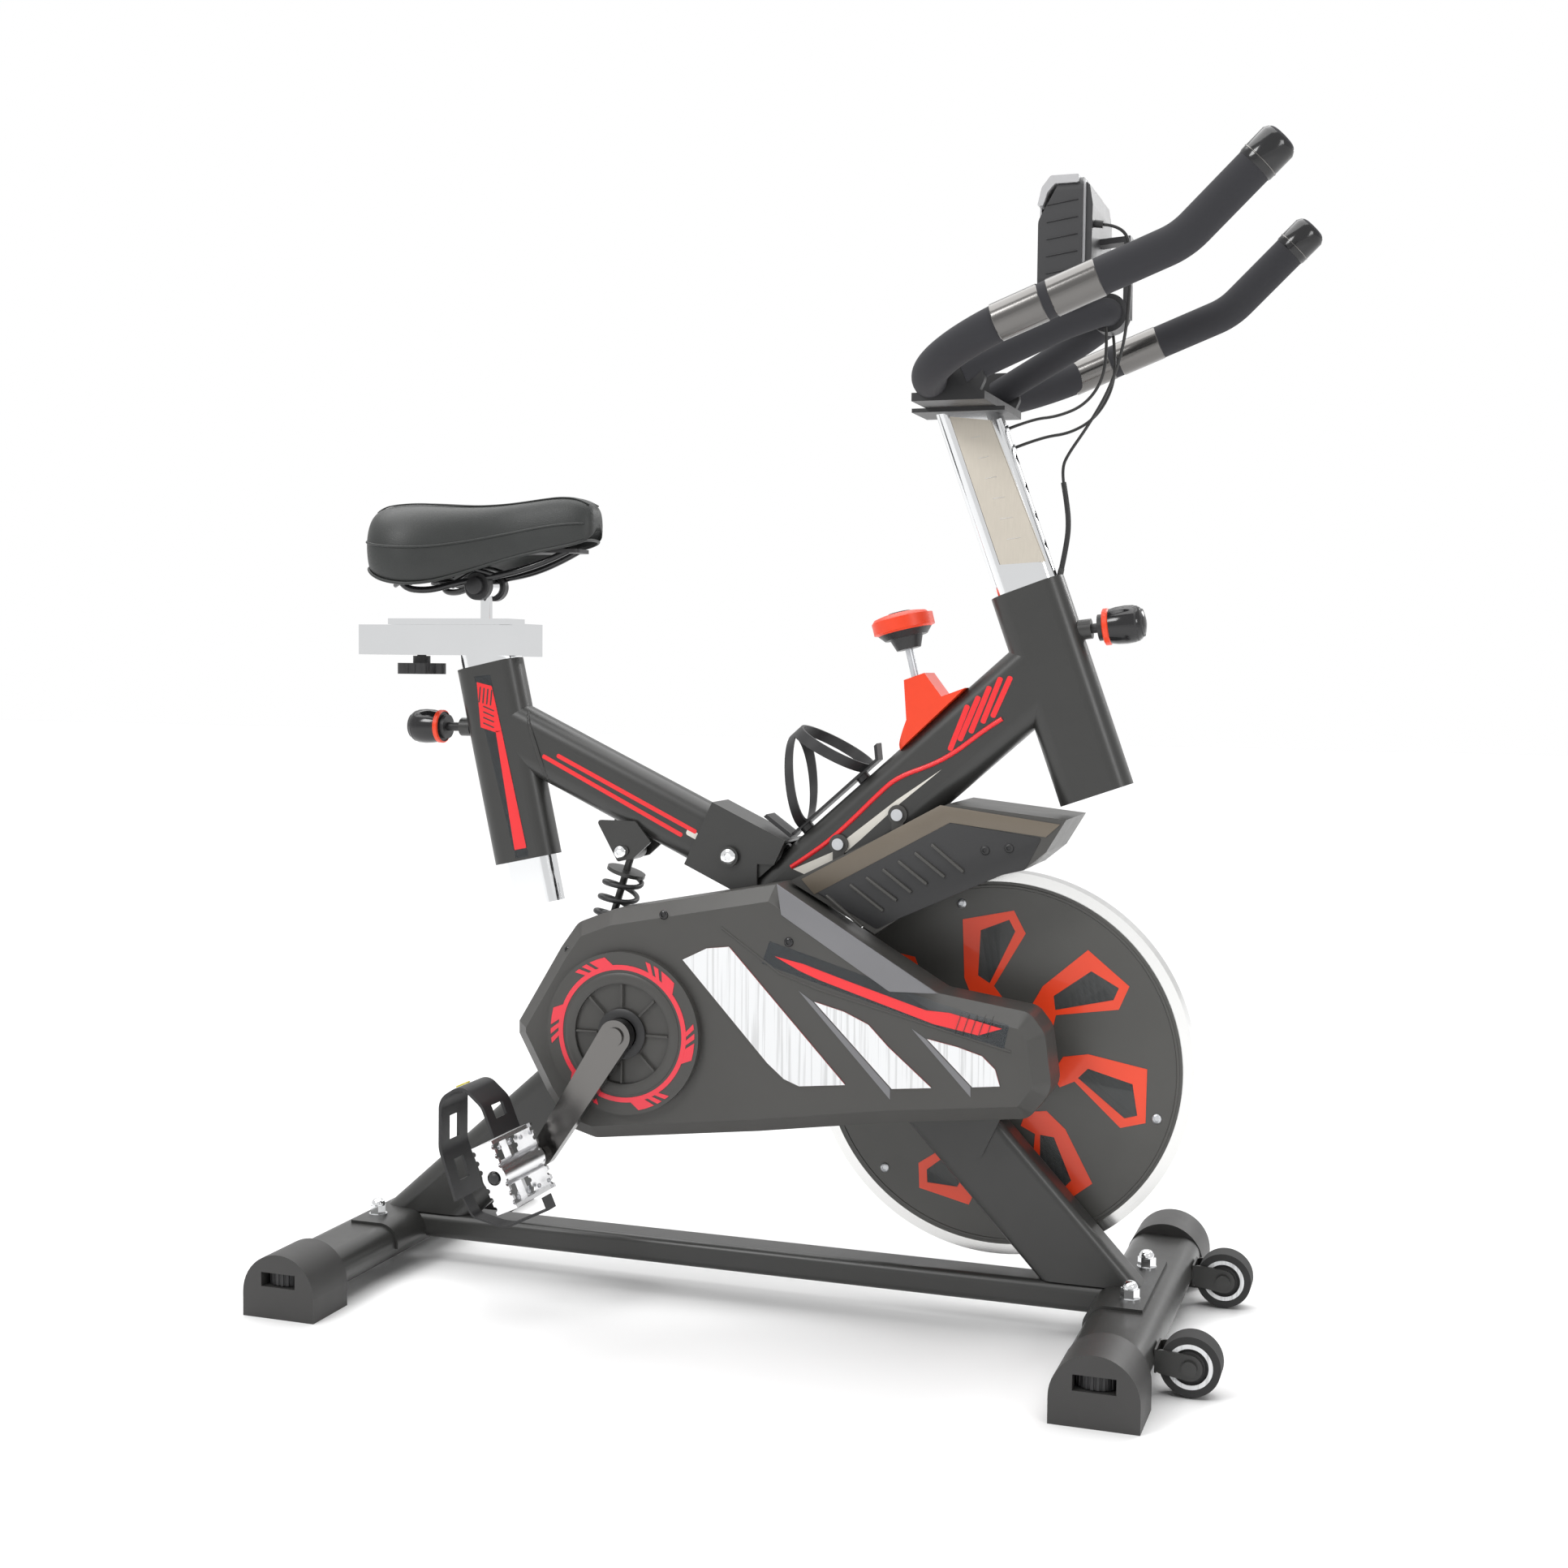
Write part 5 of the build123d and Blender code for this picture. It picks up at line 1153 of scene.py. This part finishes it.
@dataclass
class CrankRing:
    """Printed ring around the crank."""

    centre: Point2 = (-151.4, 287.0)
    face: float = -97.0
    tab_spans: Sequence[Point2] = ((-22, -9), (-6, -2), (1, 5))

    def sector(self, inner: float, outer: float, start: float, end: float,
               lean: float = 0) -> bmesh.types.BMesh:
        """Cuts a thin arc of a ring.

        Args:
            inner: inner radius in millimetres.
            outer: outer radius in millimetres.
            start: first angle in degrees.
            end: last angle in degrees.
            lean: turn of the outer edge in degrees.

        Returns:
            The arc.
        """
        steps = max(2, int((end - start) / 5))
        turn = [start + (end - start) * k / steps for k in range(steps + 1)]
        points = [polar(self.centre, inner, a) for a in turn]
        points += [polar(self.centre, outer, a + lean) for a in reversed(turn)]
        return plate(points, self.face, -0.5)

    def build(self) -> None:
        """Lays the ring, its tabs and the recessed hub."""
        centre = row(self.centre[0], self.face, self.centre[1])
        ring = lathe([(66, 0), (66, 0.6), (71, 0.6), (71, 0)], centre, RIGHT, 72)
        piece_from(ring, "ring_print", Look.PRINT_PINK, "root")
        tabs = [self.sector(70.5, 80, turn + start, turn + end, 6) for turn in range(0, 360, 60)
                for start, end in self.tab_spans]
        piece_from(join(tabs), "ring_tabs", Look.PRINT_PINK, "root")
        rim = lathe([(52, 0), (52, 1.0), (54, 1.8), (61, 1.8), (63, 0.6), (63, 0)], centre, RIGHT, 72)
        piece_from(rim, "crank_rim", Look.COVER, "root")
        ribs = [bar(centre + self.out(a, 27), centre + self.out(a, 51), 2.2, 2.4, 0.6)
                for a in range(0, 360, 45)]
        piece_from(join(ribs), "crank_ribs", Look.COVER, "root")
        hub = lathe([(17, 0), (17, 2.6), (24, 2.6), (26, 1.2), (26, 0)], centre, RIGHT)
        piece_from(hub, "crank_collar", Look.BLACK, "root")

    def out(self, degrees: float, radius: float) -> Vector:
        """Offset from the centre at an angle, in metres."""
        x, z = polar((0, 0), radius, degrees)
        return row(x, -0.4, z)


# ---------------------------------------------------------------- flywheel
@dataclass
class Flywheel:
    """Print and fasteners of the flywheel's cover disc."""

    centre: Point2 = (214.56, 260.5)
    face: float = 25.5
    count: int = 7
    first: float = 95.0
    outline: Sequence[Point2] = (
        (152, 10), (159, -10), (138, -16), (80, -1), (67, -9), (56, 1), (68, 18), (94, 18))
    core: Sequence[Point2] = ((138, 3.5), (149, -8.5), (138, -11.5), (83, 2), (92.5, 9))

    def shape(self, points: Sequence[Point2], turn: float) -> list[Point2]:
        """Polar points about the axis, turned."""
        return [polar(self.centre, r, a + turn) for r, a in points]

    def build(self) -> None:
        """Lays the petals, the bolts and the hub's rings."""
        petals, cores = [], []
        for index in range(self.count):
            turn = self.first - 360 * index / self.count
            core = self.shape(self.core, turn)
            petals.append(plate(self.shape(self.outline, turn), self.face, -0.5, hole=core))
            cores.append(plate(core, self.face, -0.25))
        piece_from(join(petals), "flywheel_petals", Look.PRINT_ORANGE, "flywheel_wheel")
        piece_from(join(cores), "flywheel_petal_cores", Look.DARK_FILM, "flywheel_wheel")
        bolts = [screw_head(row(*self.flat(168, a)), RIGHT, 5) for a in (104, -15, -135)]
        piece_from(join(bolts), "flywheel_bolts", Look.STEEL, "flywheel_wheel")
        hub = row(self.centre[0], self.face, self.centre[1])
        piece_from(lathe([(30, 0), (30, 1.0), (52, 1.0), (54, 0.4), (54, 0)], hub, RIGHT, 64),
                   "flywheel_hub_plate", Look.BLACK, "flywheel_wheel")
        piece_from(lathe([(181, 0), (181.6, 0.9), (183.8, 0.9), (184.4, 0)], hub, RIGHT, 96),
                   "flywheel_disc_bead", Look.DISC, "flywheel_wheel")

    def flat(self, radius: float, degrees: float) -> Point3:
        """Place on the disc's face, in millimetres."""
        x, z = polar(self.centre, radius, degrees)
        return x, self.face, z


@dataclass
class Guard:
    """Ribs, inset and facet of the brake guard."""

    face: float = -46.0
    ribs: Sequence[tuple[Point2, Point2]] = (
        ((51, 434), (89, 404)), ((76, 446), (111, 421)), ((93, 454), (125, 432)), ((110, 463), (140, 441)),
        ((126, 472), (156, 450)), ((143, 481), (174, 458)), ((160, 490), (193, 464)))
    inset: Sequence[Point2] = (
        (40, 436), (178, 512), (270, 500), (254, 468), (235, 464), (121, 411), (104, 402))
    buttons: Sequence[Point2] = ((214, 486), (238, 489))
    facet: Sequence[Point2] = ((24, 449), (168, 529), (288, 514), (274, 501), (178, 512), (38, 434))

    def build(self) -> None:
        """Raises the ribs on their inset."""
        piece_from(plate(self.inset, self.face, -0.8, 3, edge=0.5), "guard_inset", Look.BLACK, "root")
        piece_from(plate(self.facet, self.face, -1.0, edge=0.4), "guard_facet", Look.TAUPE, "root")
        ribs = [bar(row(a[0], self.face - 1.6, a[1]), row(b[0], self.face - 1.6, b[1]), 5.0, 3.4, 1.2)
                for a, b in self.ribs]
        piece_from(join(ribs), "guard_ribs", Look.COVER, "root")
        buttons = [screw_head(row(x, self.face - 0.6, z), RIGHT, 4.6) for x, z in self.buttons]
        piece_from(join(buttons), "guard_buttons", Look.BLACK, "root")


# ---------------------------------------------------------------- frame prints
@dataclass
class FramePrints:
    """Stripes and films on the frame's flat sides."""

    wave: Sequence[Point2] = ((4, 458), (37, 480), (65, 505), (95, 535), (116, 554), (154, 568), (178, 582),
                              (207, 605), (223, 615))
    silver: Sequence[Point2] = ((6, 456), (52, 477), (65, 491), (116, 531), (162, 563), (120, 528), (78, 489),
                                (30, 447))
    bars: Sequence[tuple[Point2, Point2]] = (
        ((170, 582), (188, 628)), ((180, 592), (199, 637)), ((191, 600), (210, 647)),
        ((203, 610), (221, 656)), ((213, 616), (231, 657)))
    stripes: Sequence[tuple[str, Point2, Point2, float, Look, float]] = (
        ("stripe_1", (-262, 567), (-101, 490), 4.6, Look.PRINT_RED, SIDE_FACE),
        ("stripe_2", (-279, 566), (-117, 486), 4.6, Look.PRINT_RED, SIDE_FACE),
        ("silver", (-112, 491), (-97, 484), 7, Look.PRINT_SILVER, SIDE_FACE + 0.1))
    films: Sequence[tuple[str, Sequence[Point2], float, Look]] = (
        ("film", ((-361, 650), (-342, 652), (-295, 457), (-311, 454), (-347, 588)), -0.2, Look.DARK_FILM),
        ("block", ((-358, 644), (-340, 640), (-328, 592), (-335, 590), (-353, 595)), -0.4, Look.PRINT_RED),
        ("stripe", ((-335, 591), (-328, 592), (-298, 466), (-312, 463)), -0.4, Look.PRINT_RED))
    post: Sequence[Point2] = ((163, 914), (206, 909), (263, 770), (217, 767))
    post_edges: Sequence[tuple[Point2, Point2]] = (((163, 915), (217, 767)), ((205, 909), (262, 770)))
    post_face: float = -15.0

    def stripe(self, name: str, start: Point2, end: Point2, width: float, look: Look, body: str,
               face: float = SIDE_FACE) -> None:
        """Lays one straight film stripe with rounded ends.

        Args:
            name: the piece's name.
            start: (x, z) of one end in millimetres.
            end: (x, z) of the other end.
            width: in millimetres.
            look: its finish.
            body: the body it rides on.
            face: y of the side it lies on.
        """
        lean = Vector((end[0] - start[0], end[1] - start[1])).normalized() * width / 2
        side = Vector((-lean.y, lean.x))
        corners = [Vector(start) + side, Vector(end) + side, Vector(end) - side, Vector(start) - side]
        piece_from(plate([tuple(c) for c in corners], face, -0.4, width * 0.4), name, look, body)

    def build(self) -> None:
        """Lays every stripe."""
        line("main_wave", [row(x, SIDE_FACE, z) for x, z in self.wave], 2.4, Look.PRINT_RED, "root")
        piece_from(plate(self.silver, SIDE_FACE, -0.3), "main_silver", Look.PRINT_SILVER, "root")
        for number, (low, high) in enumerate(self.bars, 1):
            self.stripe(f"main_bar_{number}", low, high, 5.5, Look.PRINT_RED, "root")
        for name, start, end, width, look, face in self.stripes:
            self.stripe(f"seat_frame_{name}", start, end, width, look, "seat_frame", face)
        for name, points, thick, look in self.films:
            piece_from(plate(points, SIDE_FACE, thick, 0.8), f"seat_tube_{name}", look, "seat_frame")
        for number in range(4):
            self.stripe(f"seat_tube_slit_{number}", (-355 + 4.6 * number, 622 - number),
                        (-353.5 + 4.6 * number, 639 - number), 1.5, Look.FRAME, "seat_frame",
                        SIDE_FACE - 0.2)
            self.stripe(f"seat_tube_bar_{number}", (-350, 618 - 6 * number), (-337, 613 - 6 * number),
                        1.3, Look.FRAME, "seat_frame", SIDE_FACE - 0.2)
        column = "handlebar_column"
        piece_from(plate(self.post, self.post_face, -0.16, 1), "post_face", Look.SATIN, column)
        starts = [row(186 + 7.5 * k, self.post_face - 0.1, 892 - 20 * k) for k in range(6)]
        ticks = [bar(start, start + row(9 + k, 0, 1.7), 1.6, 0.3, 0.1) for k, start in enumerate(starts)]
        piece_from(join(ticks), "post_ticks", Look.STEEL, column)
        for number, ends in enumerate(self.post_edges, 1):
            edge = [row(x, self.post_face + 0.3, z) for x, z in ends]
            line(f"post_edge_{number}", edge, 0.5, Look.DARK_CHROME, column, kind="POLY")


# ---------------------------------------------------------------- controls
@dataclass
class PinKnobs:
    """Red rings and black grips on the two pull pins."""

    ring: Sequence[Point2] = ((16.6, -39), (18.2, -38), (18.2, -33.6), (16.8, -32.6))
    grip: Sequence[Point2] = ((17.0, -33), (18.4, -26), (18.9, -17), (18.3, -9), (15.8, -3), (10.5, 1),
                              (4, 2.4), (0, 2.6))
    lean: float = 7.0

    def knob(self, name: str, root: Point3, direction: Vector, reach: float, body: str) -> None:
        """Dresses one pull pin's grip.

        Args:
            name: start of the pieces' names.
            root: where the pin meets the tube, in millimetres.
            direction: outward along the pin.
            reach: length of the knob's end from the root.
            body: the body it rides on.
        """
        end = row(*root) + direction * reach * MM
        piece_from(lathe(self.ring, end, direction), name + "_ring", Look.RED, body)
        piece_from(lathe(self.grip, end, direction), name + "_grip", Look.GLOSS_BLACK, body)

    def build(self) -> None:
        """Dresses both."""
        self.knob("rear_pin", (-375.1, 0, 594.5), Vector((-1, 0, 0)), 72, "rear_pin")
        angle = math.radians(self.lean)
        up = Vector((math.cos(angle), 0, math.sin(angle)))
        self.knob("front_pin", (296.0, 0, 703.3), up, 62, "front_pin")


@dataclass
class BrakeKnob:
    """Orange cap and its ring over the resistance knob."""

    centre: Point3 = (115.0, 0.0, 701.0)
    lean: float = 14.0

    def build(self) -> None:
        """Fits the cap and its ring."""
        angle = math.radians(self.lean)
        up = Vector((-math.sin(angle), 0, math.cos(angle)))
        seat = row(*self.centre) + up * 12 * MM
        cap = lathe([(30, -3), (30.4, 0.5), (27, 4.6), (18, 6.6), (8, 7.2), (0, 7.3)], seat, up, 64)
        piece_from(cap, "brake_knob_cap", Look.RED, "brake_knob")
        ring = lathe([(9, 6.9), (9.6, 8.0), (11.4, 8.0), (12, 6.9)], seat, up)
        piece_from(ring, "brake_knob_ring", Look.BLACK, "brake_knob")


@dataclass
class Handlebars:
    """End tape, end plugs and pulse pads; each arm's root, bend and end are (x, z) places."""

    half_width: float = 183.0
    root: Point2 = (159.6, 940)
    bend: Point2 = (411.6, 1038)
    end: Point2 = (489.6, 1115)
    pads: Sequence[float] = (176, 122)

    def build(self) -> None:
        """Dresses both grips."""
        for side, name in SIDES:
            root, bend, end = (row(x, side * self.half_width, z) for x, z in (self.root, self.bend, self.end))
            ahead, arm = (end - bend).normalized(), (bend - root).normalized()
            tape = lathe([(17.2, -26), (18.0, -24), (18.0, 1), (15.5, 5.2), (9, 6.6), (0, 7)], end, ahead)
            piece_from(tape, f"end_tape_{name}", Look.GLOSS_BLACK, "handlebar_column")
            inlay = lathe([(17.5, -20), (18.5, -19.4), (18.5, -18.6), (17.5, -18)], end, ahead)
            piece_from(inlay, f"end_tape_edge_{name}", Look.DARK_CHROME, "handlebar_column")
            for k, back in enumerate(self.pads):
                pad = lathe([(16.9, 0), (17.6, 0.8), (17.6, 45), (16.9, 45.8)], bend - arm * back * MM, arm)
                piece_from(pad, f"pulse_pad_{name}_{k}", Look.DARK_CHROME, "handlebar_column")


@dataclass
class Monitor:
    """Display, bezel, grooves and pale back of the monitor."""

    front: float = 258.6
    middle: float = 1090.0
    shell: Sequence[Point2] = ((257.6, 1104), (261.5, 1121), (270, 1131.6), (297, 1131.6), (297, 1124),
                               (274, 1124), (267, 1116), (263, 1104))
    half_width: float = 60.6

    def build(self) -> None:
        """Dresses the case on all sides."""
        body = "handlebar_column"
        frame = block(Vector((0.0016, 0.092, 0.046)))
        corners = [e for e in frame.edges if abs(e.verts[0].co.x - e.verts[1].co.x) > 1e-4]
        soften(frame, corners, 6, 5)
        bmesh.ops.translate(frame, vec=row(self.front - 0.3, 0, self.middle), verts=frame.verts)
        piece_from(frame, "monitor_bezel", Look.MONITOR_PALE, body)
        glass = block(Vector((0.0014, 0.08, 0.036)))
        soften(glass, list(glass.edges), 0.5)
        bmesh.ops.translate(glass, vec=row(self.front - 0.8, 0, self.middle), verts=glass.verts)
        piece_from(glass, "monitor_screen", Look.SCREEN, body)
        cap = plate(self.shell, -self.half_width, 2 * self.half_width, 1.5, edge=1.2)
        piece_from(cap, "monitor_cap", Look.MONITOR_PALE, body)
        back = bar(row(301.4, 0, 1026), row(301.4, 0, 1127), 3.0, 114, 1.2)
        piece_from(back, "monitor_back", Look.MONITOR_PALE, body)
        for side, name in SIDES:
            y = side * (self.half_width - 0.4)
            grooves = [bar(row(self.front + 8, y, 1040 + 16 * k), row(self.front + 38, y, 1044 + 16 * k),
                           2.0, 0.8, 0.3) for k in range(5)]
            piece_from(join(grooves), f"monitor_grooves_{name}", Look.BLACK, body)


# ---------------------------------------------------------------- feet and wheels
@dataclass
class Pedals:
    """Tread pins, end caps and yellow badges of the pedals."""

    def dress(self, name: str, body: str, centre: Point3, toe: float, side: int) -> None:
        """Dresses one pedal.

        Args:
            name: start of the pieces' names.
            body: the pedal's body.
            centre: middle of the pedal in millimetres.
            toe: its toe direction in degrees.
            side: -1 right, 1 left.
        """
        angle = math.radians(toe)
        ahead = Vector((math.cos(angle), 0, math.sin(angle)))
        up = Vector((-math.sin(angle), 0, math.cos(angle)))
        middle = row(*centre)
        pins = []
        for along in (-26, 26):
            for across in (-34, -12, 12, 34):
                for face in (-1, 1):
                    place = middle + ahead * along * MM + row(0, across, 0) + up * face * 11 * MM
                    pins.append(lathe([(2.2, 0), (2.2, 2.2), (1.2, 3.0), (0, 3.0)], place, up * face, 12))
        piece_from(join(pins), name + "_tread", Look.STEEL, body)
        end = middle + row(0, side * 42, 0)
        cap = lathe([(5.4, 0), (5.4, 3), (3.6, 4.6), (0, 5)], end, Vector((0, side, 0)), 28)
        piece_from(cap, name + "_end_cap", Look.BLACK, body)
        toe_tip = middle + (ahead * 97 + up * 20) * MM
        badge = lathe([(7.5, -0.6), (7.5, 0.7), (6.8, 1.1), (0, 1.1)], toe_tip, ahead, 32)
        piece_from(badge, name + "_badge", Look.PRINT_YELLOW, body)

    def build(self) -> None:
        """Dresses both."""
        self.dress("pedal_right", "right_pedal", (-233.3, -176, 158.9), 114.2, -1)
        self.dress("pedal_left", "left_pedal", (-69.5, 176, 415.1), -78.5, 1)


@dataclass
class Spring:
    """Coil of the shock, wound as a fixed tube that does not move with the seat."""

    eye: Point3 = (-181.44, 0.0, 467.8)
    lean: float = 17.5
    start: float = 31.3
    length: float = 75.4
    radius: float = 19.5
    wire: float = 2.8
    turns: float = 4.5
    steps: int = 24

    def build(self) -> None:
        """Winds the coil from below the seat frame's eye down to its cup, as a fixed tube with no body."""
        angle = math.radians(self.lean)
        down = Vector((-math.sin(angle), 0, -math.cos(angle)))
        side = Vector((0, 1, 0))
        other = down.cross(side)
        top = row(*self.eye) + down * self.start * MM
        steps = int(self.turns * self.steps)
        path = []
        for k in range(steps + 1):
            turn = math.tau * self.turns * k / steps
            out = (side * math.cos(turn) + other * math.sin(turn)) * self.radius
            path.append(top + (down * self.length * k / steps + out) * MM)
        coil = tube("shock_coil", path, self.wire, Look.BLACK)
        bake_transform(coil)
        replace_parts(coil, "shock_spring")


@dataclass
class Bolts:
    """Bright bolt heads of the pivot and the shock."""

    places: Sequence[tuple[str, Point3, float, str]] = (
        ("pivot_bolt", (-62.1, 29.2, 466.7), 8.0, "root"),
        ("shock_bolt", (-186.0, 25.0, 466.0), 6.5, "seat_frame"))

    def build(self) -> None:
        """Puts one head on each side."""
        for name, (x, y, z), radius, body in self.places:
            heads = [screw_head(row(x, side * y, z), Vector((0, side, 0)), radius) for side in (-1, 1)]
            piece_from(join(heads), name, Look.CHROME, body)


@dataclass
class Wheels:
    """White rings and hub caps on the transport wheels."""

    centre: Point2 = (435.9, 30.0)

    def build(self) -> None:
        """Dresses both wheels, on both faces."""
        for name, y0, y1 in (("right", -148, -123), ("left", 123, 148)):
            for place, face, way in (("out", y0, -1), ("in", y1, 1)):
                centre, axis = row(self.centre[0], face, self.centre[1]), Vector((0, way, 0))
                ring = lathe([(17, -0.5), (17, 0.4), (21, 0.4), (21, -0.5)], centre, axis)
                piece_from(ring, f"wheel_ring_{name}_{place}", Look.WINDOW, f"{name}_wheel")
                cap = lathe([(9, -0.5), (8.6, 1.6), (5, 2.4), (0, 2.5)], centre, axis, 32)
                piece_from(cap, f"wheel_cap_{name}_{place}", Look.CHROME, f"{name}_wheel")


@dataclass
class Welds:
    """Weld beads where the frame's tubes meet."""

    def bead(self, name: str, centre: Vector, axis: Vector, size: Point2, body: str) -> None:
        """Rippled bead round a joint.

        Args:
            name: the piece's name.
            centre: middle of the joint, in metres.
            axis: direction of the tube that ends there.
            size: half width along the bike and half depth across it, in millimetres.
            body: the body it rides on.
        """
        side = Vector((0, 1, 0))
        other = axis.cross(side).normalized()
        points = []
        for k in range(64):
            a = math.tau * k / 64
            grow = 1 + 0.02 * (k % 2)
            points.append(centre + other * size[0] * MM * grow * self.round(math.cos(a))
                          + side * size[1] * MM * grow * self.round(math.sin(a)))
        line(name, points, 2.0, Look.FRAME, body, True)

    def round(self, value: float) -> float:
        """Squares a circle's coordinate off a little."""
        return math.copysign(abs(value) ** 0.6, value)

    def build(self) -> None:
        """Lays the beads."""
        self.bead("weld_seat_frame", row(-286.4, 0, 574.7), Vector((0.942, 0, 0.336)), (40.5, 20),
                  "seat_frame")
        self.bead("weld_rear_rail", row(-432, 0, 40), Vector((1, 0, 0)), (14, 22), "root")
        self.bead("weld_front_rail", row(337, 0, 40), Vector((1, 0, 0)), (14, 22), "root")


def main() -> None:
    """Builds the studio and dresses the bike."""
    logging.basicConfig(level=logging.INFO, format="%(name)s %(message)s")
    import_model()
    Studio().build()
    Cords().build()
    Coats().build()
    for part in (Saddle, BeltCover, CrankRing, Flywheel, Guard, FramePrints, PinKnobs, BrakeKnob,
                 Handlebars, Monitor, Pedals, Spring, Bolts, Wheels, Welds):
        part().build()


if __name__ == "__main__":
    main()
